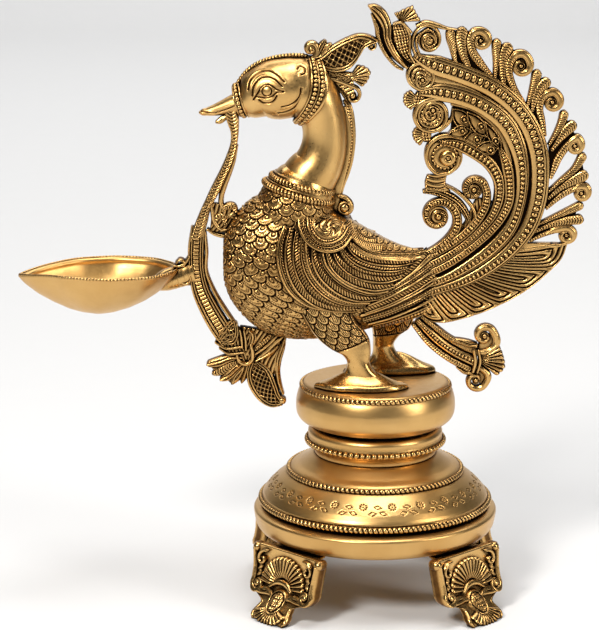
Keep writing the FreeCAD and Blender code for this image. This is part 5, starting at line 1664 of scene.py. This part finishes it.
def make_garland():
    form = Form()
    left = [(-74.9, 247.0), (-74.6, 243.6), (-73.5, 239.6), (-72.1, 235.4), (-72.1, 231.0), (-74.4, 223.4),
            (-77.4, 216.6), (-81.3, 209.0), (-84.7, 201.8), (-87.8, 195.0), (-90.7, 187.8), (-93.1, 180.6)]
    right = [(-68.4, 246.6), (-67.9, 243.0), (-67.9, 238.6), (-68.1, 234.6), (-68.7, 229.6), (-70.2, 222.4),
             (-73.1, 215.6), (-76.2, 208.6), (-78.8, 203.6), (-81.6, 198.6), (-83.6, 190.6), (-85.5, 183.6)]
    patch(form, left, right, crescents, 2.6)
    lower = [(-88.4, 188.0, 3.6), (-89.5, 178.0, 4.1), (-89.3, 166.0, 4.0), (-87.6, 156.6, 4.5),
             (-83.4, 146.8, 5.0), (-78.4, 137.8, 5.3), (-73.0, 129.6, 5.0)]
    ribbon(form, lower, garland_strand, 2.5)
    side = [(-68.7, 229.0, 0.5), (-70.6, 220.6, 0.9), (-73.0, 214.2, 1.2), (-75.4, 208.2, 1.4),
            (-76.8, 203.4, 1.4), (-76.6, 199.0, 1.3), (-74.2, 196.8, 0.8)]
    ribbon(form, side, smooth_rail, 2.0)
    ribbon(form, [(-85.0, 186.0, 0.7), (-84.4, 176.0, 1.0), (-84.6, 166.0, 1.0), (-81.0, 156.0, 1.1),
                  (-75.6, 146.4, 1.2), (-69.6, 137.6, 1.0)], smooth_rail, 2.2)
    patch(form, [(-83.0, 200.4), (-82.0, 193.0), (-82.6, 186.4)],
          [(-70.0, 198.6), (-67.6, 192.6), (-69.0, 184.6)], leafy, 2.0)
    for path, relief in (
        ([(-82.0, 200.6, 0.8), (-81.2, 195.4, 1.2), (-80.2, 190.6, 1.2), (-76.8, 187.0, 1.0),
          (-73.0, 186.8, 0.7)], smooth_rail),
        ([(-79.4, 190.6, 0.6), (-78.4, 193.4, 1.9), (-76.2, 193.2, 2.1), (-74.6, 189.6, 1.2)], chevrons),
        ([(-76.4, 196.2, 0.6), (-74.2, 198.2, 1.9), (-71.4, 198.4, 2.0), (-69.2, 195.8, 1.0)], chevrons),
        ([(-74.0, 193.0, 0.6), (-71.8, 194.2, 1.7), (-69.4, 192.6, 1.8), (-68.6, 189.4, 0.8)], ribbed_leaf),
        ([(-84.0, 187.0, 0.8), (-80.0, 184.6, 1.1), (-75.6, 183.6, 1.2), (-70.6, 184.4, 0.9)], smooth_rail),
    ):
        ribbon(form, path, relief, 2.5)
    ribbon(form, [(-73.6, 243.6, 0.8), (-75.6, 242.2, 1.5), (-77.8, 240.8, 1.3), (-79.4, 240.4, 0.5)],
           ribbed_leaf, 1.8)
    form.piece("garland_cast", "bird", CARVED_SLOT, CARVED, "beak_garland")


def make_pendant():
    form = Form()
    patch(form, [(-79.4, 133.0), (-77.0, 136.4), (-74.0, 140.4), (-72.6, 141.4)],
          [(-76.4, 128.4), (-70.6, 128.6), (-68.4, 133.0), (-69.0, 139.0)], netted_small, 2.9)
    for path in (
        [(-80.4, 129.6, 0.7), (-75.4, 126.6, 0.9), (-66.8, 127.4, 0.8)],
        [(-78.4, 126.6, 0.6), (-74.0, 123.8, 0.9), (-66.0, 124.4, 0.8)],
        [(-68.0, 136.2, 0.6), (-67.2, 132.0, 0.8), (-66.8, 126.6, 0.7)],
        [(-66.0, 135.8, 0.6), (-65.2, 131.0, 0.8), (-65.0, 125.4, 0.7)],
    ):
        ribbon(form, path, smooth_rail, 3.0)
    patch(form, [(-79.6, 131.0), (-76.0, 125.6), (-71.0, 121.6), (-66.0, 118.6)],
          [(-71.2, 139.2), (-68.4, 137.0), (-65.6, 131.0), (-62.6, 124.4)], leafy, 2.0)
    patch(form, [(-65.0, 121.4), (-72.0, 120.8), (-79.0, 119.2), (-84.2, 117.8)],
          [(-62.6, 117.0), (-65.4, 112.4), (-69.0, 109.0), (-72.0, 107.8)], leafy, 1.6)
    backing(form, [(-68.0, 137.6), (-67.4, 131.0), (-70.0, 124.0), (-69.0, 119.0)],
            [(-50.0, 134.6), (-51.4, 129.0), (-56.0, 122.4), (-60.0, 117.6)], 2.2, 0.6)
    patch(form, [(-67.0, 137.4), (-66.4, 129.0), (-64.6, 121.0), (-61.6, 116.6)],
          [(-46.4, 134.0), (-47.6, 127.0), (-49.4, 120.0), (-50.0, 112.6)], leafy, 2.1)
    ribbon(form, [(-63.6, 136.0, 0.9), (-61.6, 133.4, 2.0), (-62.0, 129.4, 1.9), (-62.8, 126.6, 0.8)],
           double_ridge, 2.4)
    ribbon(form, [(-60.2, 125.6, 0.8), (-57.4, 128.4, 1.4), (-54.2, 131.4, 1.5), (-52.4, 134.0, 0.9)],
           chevrons, 2.9)
    ribbon(form, [(-59.4, 121.2, 0.7), (-55.0, 124.6, 1.3), (-51.0, 128.6, 1.4), (-46.6, 132.6, 1.0),
                  (-45.4, 134.0, 0.5)], smooth_rail, 2.8)
    ribbon(form, [(-60.4, 123.4, 0.7), (-55.6, 126.8, 1.0), (-51.4, 130.8, 1.1), (-48.4, 134.4, 0.7)],
           smooth_rail, 2.8)
    ribbon(form, [(-45.2, 132.6, 0.7), (-47.2, 126.4, 1.8), (-49.0, 120.6, 2.0), (-49.4, 114.6, 1.6),
                  (-48.4, 108.0, 1.3), (-46.4, 102.6, 0.7)], double_ridge, 2.2)
    ribbon(form, [(-60.4, 120.0, 0.8), (-56.0, 122.2, 1.5), (-52.2, 124.6, 1.6), (-49.0, 127.8, 1.0)],
           double_ridge, 2.6)
    knot = [(-69.6, 123.2, 0.8), (-68.4, 120.0, 1.1), (-65.2, 118.4, 1.3), (-62.0, 120.6, 1.3),
            (-61.6, 124.0, 1.2), (-62.6, 128.6, 0.8)]
    ribbon(form, knot, smooth_rail, 3.3)
    petals = (
        ([(-66.6, 121.6, 0.9), (-72.6, 121.4, 2.0), (-78.6, 119.2, 2.5), (-84.8, 117.8, 1.6)], double_ridge),
        ([(-66.6, 120.4, 0.8), (-72.0, 117.8, 2.0), (-77.6, 114.4, 2.4), (-82.2, 113.0, 1.2)], chevrons),
        ([(-66.0, 119.4, 0.8), (-70.0, 115.6, 1.9), (-74.6, 111.6, 2.3), (-78.2, 109.8, 1.0)], double_ridge),
        ([(-65.2, 118.6, 0.8), (-67.6, 114.4, 1.8), (-70.4, 110.6, 2.0), (-72.4, 107.8, 0.9)], ribbed_leaf),
        ([(-64.2, 118.2, 0.7), (-65.4, 113.6, 1.4), (-66.6, 110.4, 1.5), (-67.4, 108.4, 0.7)], double_ridge),
    )
    for path, relief in petals:
        ribbon(form, tipped(path, 1.0), relief, 2.2)
    bud_left = [(-63.6, 119.2), (-65.0, 113.6), (-64.4, 108.4), (-62.0, 103.0), (-57.8, 98.2),
                (-52.3, 95.6), (-47.4, 96.4)]
    bud_right = [(-57.6, 119.4), (-53.4, 116.4), (-51.0, 112.0), (-49.4, 107.6), (-47.8, 103.0),
                 (-46.2, 100.6), (-45.8, 98.6)]
    patch(form, bud_left, bud_right, netted_small, 2.7)
    boss(form, -46.9, 99.2, [(0.02, 1.1), (0.9, 0.9), (1.6, 0.3), (2.0, -0.6)], 2.6)
    form.piece("pendant_cast", "bird", CARVED_SLOT, CARVED, "garland_pendant")


def netted_small(s, v, w):
    """Two close rims round a cross-hatched middle."""
    d = w - np.abs(v)
    rim = 0.75 * bump(d - 0.75, 0.62) + 0.65 * bump(d - 2.2, 0.5)
    return np.maximum(rim, ramp(d - 2.9, 0.3) * netting(s, v, 1.1, 2.9))


def bowl_outline(scale, inset=0.0, count=360):
    """The bowl's plan: pointed in front, rounded behind. Gives x and y round the rim."""
    plan = smooth_path([(0.0, 0.0), (0.04, 0.16), (0.20, 0.54), (0.40, 0.88), (0.58, 1.0), (0.78, 0.88),
                        (0.93, 0.52), (0.985, 0.22), (1.0, 0.0)], 0.004)
    even = np.linspace(0, 1, count // 2)
    run = run_length(plan) / run_length(plan)[-1]
    along = np.interp(even, run, plan[:, 0])
    across = np.maximum(np.interp(even, run, plan[:, 1]), 0.0)
    tip, back, middle, half = -178.2 + 2.0 * inset, -98.0 - inset, -140.0, 28.0 - inset
    x = middle + (tip + (back - tip) * along - middle) * scale
    y = half * across * scale
    return np.concatenate([x, x[::-1][1:-1]]), np.concatenate([-y, y[::-1][1:-1]])


def rim_height(x):
    """The rim dips a little towards the spout."""
    return -3.4 * ramp(-148.0 - x, 30.0) ** 2


def stem_grooves(x, y, z):
    """Shallow grooves on the stem, behind the bowl."""
    return 0.1 * np.abs(np.cos(math.pi * (x + 0.2 * z) / 3.4)) * (x > -101)


def make_bowl():
    form = Form()
    levels = [
        (144.4, 0.02, 0.0), (144.5, 0.14, 0.0), (146.2, 0.32, 0.0), (150.6, 0.58, 0.0), (156.8, 0.80, 0.0),
        (162.0, 0.93, 0.0), (165.2, 0.985, 0.0), (166.4, 1.0, 0.0), (167.0, 0.995, 0.2),
        (167.1, 0.99, 1.0), (166.6, 0.985, 1.6), (164.0, 0.965, 1.7), (160.2, 0.89, 1.7),
        (155.6, 0.76, 1.7), (150.4, 0.54, 1.6), (147.6, 0.30, 1.5), (146.6, 0.13, 1.2), (146.5, 0.02, 0.0),
    ]
    reach = 40.0                 # about half the bowl's length: the scale times it is in millimetres
    level = smooth_path([(a, b * reach, c) for a, b, c in levels], 0.5)
    rows = []
    for z, scale, inset in level:
        x, y = bowl_outline(scale / reach, inset)
        dish = ramp(z - 144.5, 22.0)
        rows.append(np.stack([x, y, z + rim_height(x) * dish], axis=1))
    rows = np.array(rows)
    dents = 0.12 * np.sin(rows[..., 0] * 0.31 + 1.0) * np.cos(rows[..., 1] * 0.27)
    dents += 0.06 * np.sin(rows[..., 0] * 0.83)
    rows[..., 2] += dents * ramp(165.0 - rows[..., 2], 6.0)
    capped(form, rows)
    form.piece("bowl_shell", "bird", CARVED_SLOT, BOWL, "lamp_bowl")
    trim = Form()
    x, y = bowl_outline(1.0, 0.35, 1000)
    edge = np.stack([x, y, 166.9 + rim_height(x)], axis=1)
    cord_along(trim, edge, 0.75, 1.7, True)
    limb(trim, [(-112.0, 158.6, 3.0, 5.0), (-105.0, 160.8, 5.4, 6.4), (-99.0, 162.6, 5.6, 5.0),
                (-94.5, 164.0, 6.0, 4.0), (-90.5, 164.8, 6.6, 3.6)], 0.35, 120, stem_grooves)
    for path, centre, turns in (
        ([(-101.0, 168.4, 0.8), (-98.0, 168.6, 1.0), (-94.6, 170.6, 1.0), (-92.8, 173.6, 0.8)], None, 0),
        ([(-99.0, 164.6, 0.7), (-97.6, 161.2, 0.8), (-94.6, 159.6, 0.9), (-92.4, 161.8, 0.8)],
         (-94.6, 162.6), 0.8),
        ([(-99.6, 170.0, 0.6), (-97.6, 171.6, 0.8), (-95.4, 170.4, 0.7)], (-96.6, 169.4), -0.6),
    ):
        ribbon(trim, path if centre is None else curl(path, centre, turns), smooth_rail, 3.2)
    trim.piece("bowl_rim_and_stem", "bird", CARVED_SLOT, CARVED, "lamp_bowl")


# ---------------------------------------------------------------- legs

def thigh(s, v, w):
    """A swelling limb whose upper part is a bordered panel of hatched scales."""
    limit = 23.8 - (s + 0.35 * v)
    panel = ramp(limit, 0.3) * ramp(w - 1.7 - np.abs(v), 0.25)
    edge = np.minimum(np.abs(w - 1.5 - np.abs(v)), np.abs(limit))
    border = peak(edge, 0.34) * (limit > -0.8)
    wide, tall, radius, drop = 6.0, 4.2, 3.2, 5.4
    first = np.floor(s / tall)
    height = np.zeros_like(v + s)
    free = np.ones_like(v + s, dtype=bool)
    for step in (-1, 0, 1):
        row = first + step
        cv = (v / wide + 0.5 * (row % 2) - np.round(v / wide + 0.5 * (row % 2))) * wide
        ds = s - row * tall
        e = np.where(ds > 0, np.hypot(cv / radius, ds / drop), np.abs(cv) / radius)
        hatching = (np.cos(math.pi * 2 * cv / 0.95) > 0.1) * (e < 0.66)
        scale = 0.7 - 0.85 * peak(e - 0.95, 0.08) - 0.4 * hatching
        take = free & (e < 1.0)
        height = np.where(take, scale, height)
        free = free & ~take
    band = ramp(limit + 0.8, 0.3) * ramp(w - np.abs(v), 0.2) * peak(edge - 0.8, 0.45)
    swell = 4.2 * np.sqrt(np.clip(1 - (v / w) ** 2, 0, 1)) ** 0.9
    return swell + panel * (height - 0.5) - 0.8 * border + 0.3 * band * (1 - panel)


def far_thigh(s, v, w):
    """The same limb, with its pattern moved up by 1.5 mm."""
    return thigh(s + 1.5, v, w)


LEG_OUT, FOOT_OUT = 15.6, 16.0   # how far the legs and their feet stand from the middle plane
STRIDE = 15.0                    # how much further back the far foot stands


def under_the_body(z):
    """How far out the far leg stands at each height: it leans in under the body."""
    return LEG_OUT - 12.6 * ramp(z - 124.0, 26.0) ** 1.2


def make_leg(name, node, side):
    form = Form()
    if side < 0:
        relief, lean, shift, instep, fine = thigh, -LEG_OUT, 0.0, -8.0, 0.25
        left = [(-39.4, 151.4), (-35.8, 144.8), (-31.8, 138.0), (-27.4, 133.2), (-22.1, 129.3),
                (-17.0, 126.6), (-14.8, 123.4), (-15.2, 119.6), (-17.6, 116.0), (-22.0, 113.0),
                (-25.0, 111.0)]
        right = [(-13.4, 151.0), (-10.1, 143.0), (-6.2, 138.8), (-3.8, 134.8), (-3.0, 130.8), (-3.0, 126.6),
                 (-3.2, 122.8), (-1.8, 119.4), (1.6, 116.2), (6.4, 113.4), (10.4, 111.0)]
    else:
        relief, lean, shift, instep, fine = far_thigh, under_the_body, STRIDE, -4.0, 0.3
        left = [(-6.0, 153.0), (-3.6, 141.0), (-1.6, 133.0), (-1.0, 125.0), (-1.4, 119.0), (-4.4, 114.4),
                (-8.0, 111.0)]
        right = [(18.4, 152.0), (19.4, 139.0), (17.2, 133.6), (12.4, 129.4), (9.6, 124.0), (11.6, 119.4),
                 (16.0, 116.0), (21.6, 113.4), (26.0, 111.0)]
    patch(form, left, right, relief, 1.5, fine, fine, lean, edge=2.2)
    toes = smooth_path([(-31.0, 0.0), (-24.6, 6.6), (-12.0, 10.6), (1.0, 10.4), (12.0, 5.6), (16.0, 0.4),
                        (13.0, -4.6), (2.0, -8.4), (-12.0, -9.0), (-25.0, -5.6), (-31.0, 0.0)], 0.4)
    u = np.linspace(0.02, 1.0, 48)[:, None]
    px = -9.0 + (toes[None, :-1, 0] + 9.0) * u
    py = toes[None, :-1, 1] * u
    toe_lines = np.abs(np.cos(np.arctan2(py, px + 16.0) * 5.0))
    web = 0.28 * toe_lines * ramp(px + 12.0, 4.0) * np.clip(u * 2 - 0.6, 0, 1)
    toe_edge = np.sqrt(np.clip(1 - ramp(u - 0.9, 0.1) ** 2, 0, 1))
    hump = 8.4 * peak(np.hypot((px - instep) * 0.5, py), 7.2)
    top = DRUM_TOP + 0.4 + 1.5 * toe_edge + hump - web + 0.5 * (1 - u)
    upper = np.stack([px + shift, side * (FOOT_OUT + py), top], axis=-1)
    lower = np.stack([px + shift, side * (FOOT_OUT + py), 0 * px + DRUM_TOP + 0.02], axis=-1)
    capped(form, np.concatenate([upper, lower[::-1]], axis=0))
    form.piece(name, "bird", CARVED_SLOT, CARVED, node)


# ---------------------------------------------------------------- kept parts of the CAD

def dress_kept_parts():
    """The screws, the stud, its nut and the washers keep their CAD shape and get worn brass."""
    for node in ("tie_stud", "stud_washer", "stud_nut", "joint_washer", "foot_screws", "leg_screws"):
        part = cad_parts[node]
        part.data.materials.clear()
        part.data.materials.append(FASTENER)


# ---------------------------------------------------------------- camera, light and floor

# The camera looks at the near side at the photograph's angle. Places are in metres, with x from
# the pedestal's axis.
CAMERA_X, CAMERA_Y, CAMERA_Z = -0.03822, -1.250, 0.43705
CAMERA_DOWN = 13.24              # degrees below level
LENS, SENSOR = 146.85, 36.0      # millimetres


def set_camera():
    data = bpy.data.cameras.new("photo_angle")
    data.lens = LENS
    data.sensor_width = SENSOR
    data.clip_end = 20.0
    camera = bpy.data.objects.new("photo_angle", data)
    camera.location = (AXIS_X / 1000 + CAMERA_X, CAMERA_Y, CAMERA_Z)
    camera.rotation_euler = (math.radians(90 - CAMERA_DOWN), 0, 0)
    bpy.context.scene.collection.objects.link(camera)
    bpy.context.scene.camera = camera


def area_light(name, place, aim, size, power, tint):
    data = bpy.data.lights.new(name, "AREA")
    data.shape = "RECTANGLE"
    data.size, data.size_y = size
    data.energy = power
    data.color = tint
    light = bpy.data.objects.new(name, data)
    light.location = place
    heading = mathutils.Vector(aim) - mathutils.Vector(place)
    light.rotation_euler = heading.to_track_quat("-Z", "Y").to_euler()
    bpy.context.scene.collection.objects.link(light)


def plain_surface(name, tone):
    n = Nodes(name)
    place = n.add("TexCoord").outputs["Object"]
    soft = n.spread(n.noise(place, 3.0), 0.3, 0.7, 0.985, 1.0)
    grey = n.add("CombineColor", Red=soft, Green=soft, Blue=soft).outputs[0]
    n.join(n.mix(0.92, grey, tone), n.shader.inputs["Base Color"])
    n.join(n.spread(n.noise(place, 40.0), 0.3, 0.7, 0.78, 0.9), n.shader.inputs["Roughness"])
    return n.material


FLOOR_HALF, WALL_TOP = 4.0, 2.6  # metres
CURVE_START, CURVE = 2.3, 0.7    # where the floor begins to rise, and the radius of its curve


def set_floor():
    """A pale floor that curves up into the backdrop."""
    section = [(-FLOOR_HALF, 0.0)]
    for a in np.linspace(0, math.pi / 2, 25):
        section.append((CURVE_START + CURVE * math.sin(a), CURVE * (1 - math.cos(a))))
    section.append((CURVE_START + CURVE, WALL_TOP))
    points = [(x, y, z) for x in (-FLOOR_HALF, FLOOR_HALF) for y, z in section]
    count = len(section)
    faces = [(i, count + i, count + i + 1, i + 1) for i in range(count - 1)]
    mesh = bpy.data.meshes.new("sweep")
    mesh.from_pydata(points, [], faces)
    mesh.materials.append(plain_surface("pale_paper", colour(0.68, 0.68, 0.68)))
    for face in mesh.polygons:
        face.use_smooth = True
    sweep = bpy.data.objects.new("sweep", mesh)
    bpy.context.scene.collection.objects.link(sweep)


WARM_WHITE, WHITE = (1.0, 0.97, 0.93), (1.0, 1.0, 1.0)
LIGHTS = [               # name, place, where it points, width and height, watts, colour
    ("key", (-0.75, -1.25, 1.35), (0.0, 0.0, 0.16), (0.42, 0.42), 30, WARM_WHITE),
    ("side", (1.25, -0.7, 0.75), (0.0, 0.0, 0.15), (0.3, 0.9), 10, WARM_WHITE),
    ("top", (0.1, -0.1, 1.5), (0.0, 0.0, 0.15), (0.9, 0.6), 13, WHITE),
    ("backdrop", (0.0, 1.5, 2.0), (0.0, 2.5, 0.0), (2.8, 1.4), 44, WHITE),
]


def set_light():
    world = bpy.data.worlds.new("studio")
    world.use_nodes = True
    back = world.node_tree.nodes["Background"]
    back.inputs["Color"].default_value = (0.80, 0.82, 0.86, 1.0)
    back.inputs["Strength"].default_value = 0.07
    bpy.context.scene.world = world
    for light in LIGHTS:
        area_light(*light)
    view = bpy.context.scene.view_settings
    view.view_transform = "Standard"
    view.exposure = 0.0


PIECES = [
    make_base_plate, make_dome, make_spool, make_drum, make_body, make_tail_root,
    make_head, make_bridle, make_necklaces, make_nape_cord, make_crest,
    make_tail_strands, make_tail_flames, make_tail_border, make_tail_top, make_tail_inner,
    make_eye_leaves, make_plume,
    make_garland, make_pendant, make_bowl,
]
for make in PIECES:
    make()
make_foot("foot_front_near", 225)
make_foot("foot_front_far", 135)
make_foot("foot_back_near", 315)
make_foot("foot_back_far", 45)
make_leg("near_leg_cast", "near_leg", -1)
make_leg("far_leg_cast", "far_leg", 1)
make_wing("near_wing_feathers", "near_wing", -1)
make_wing("far_wing_feathers", "far_wing", 1)
dress_kept_parts()
set_camera()
set_floor()
set_light()
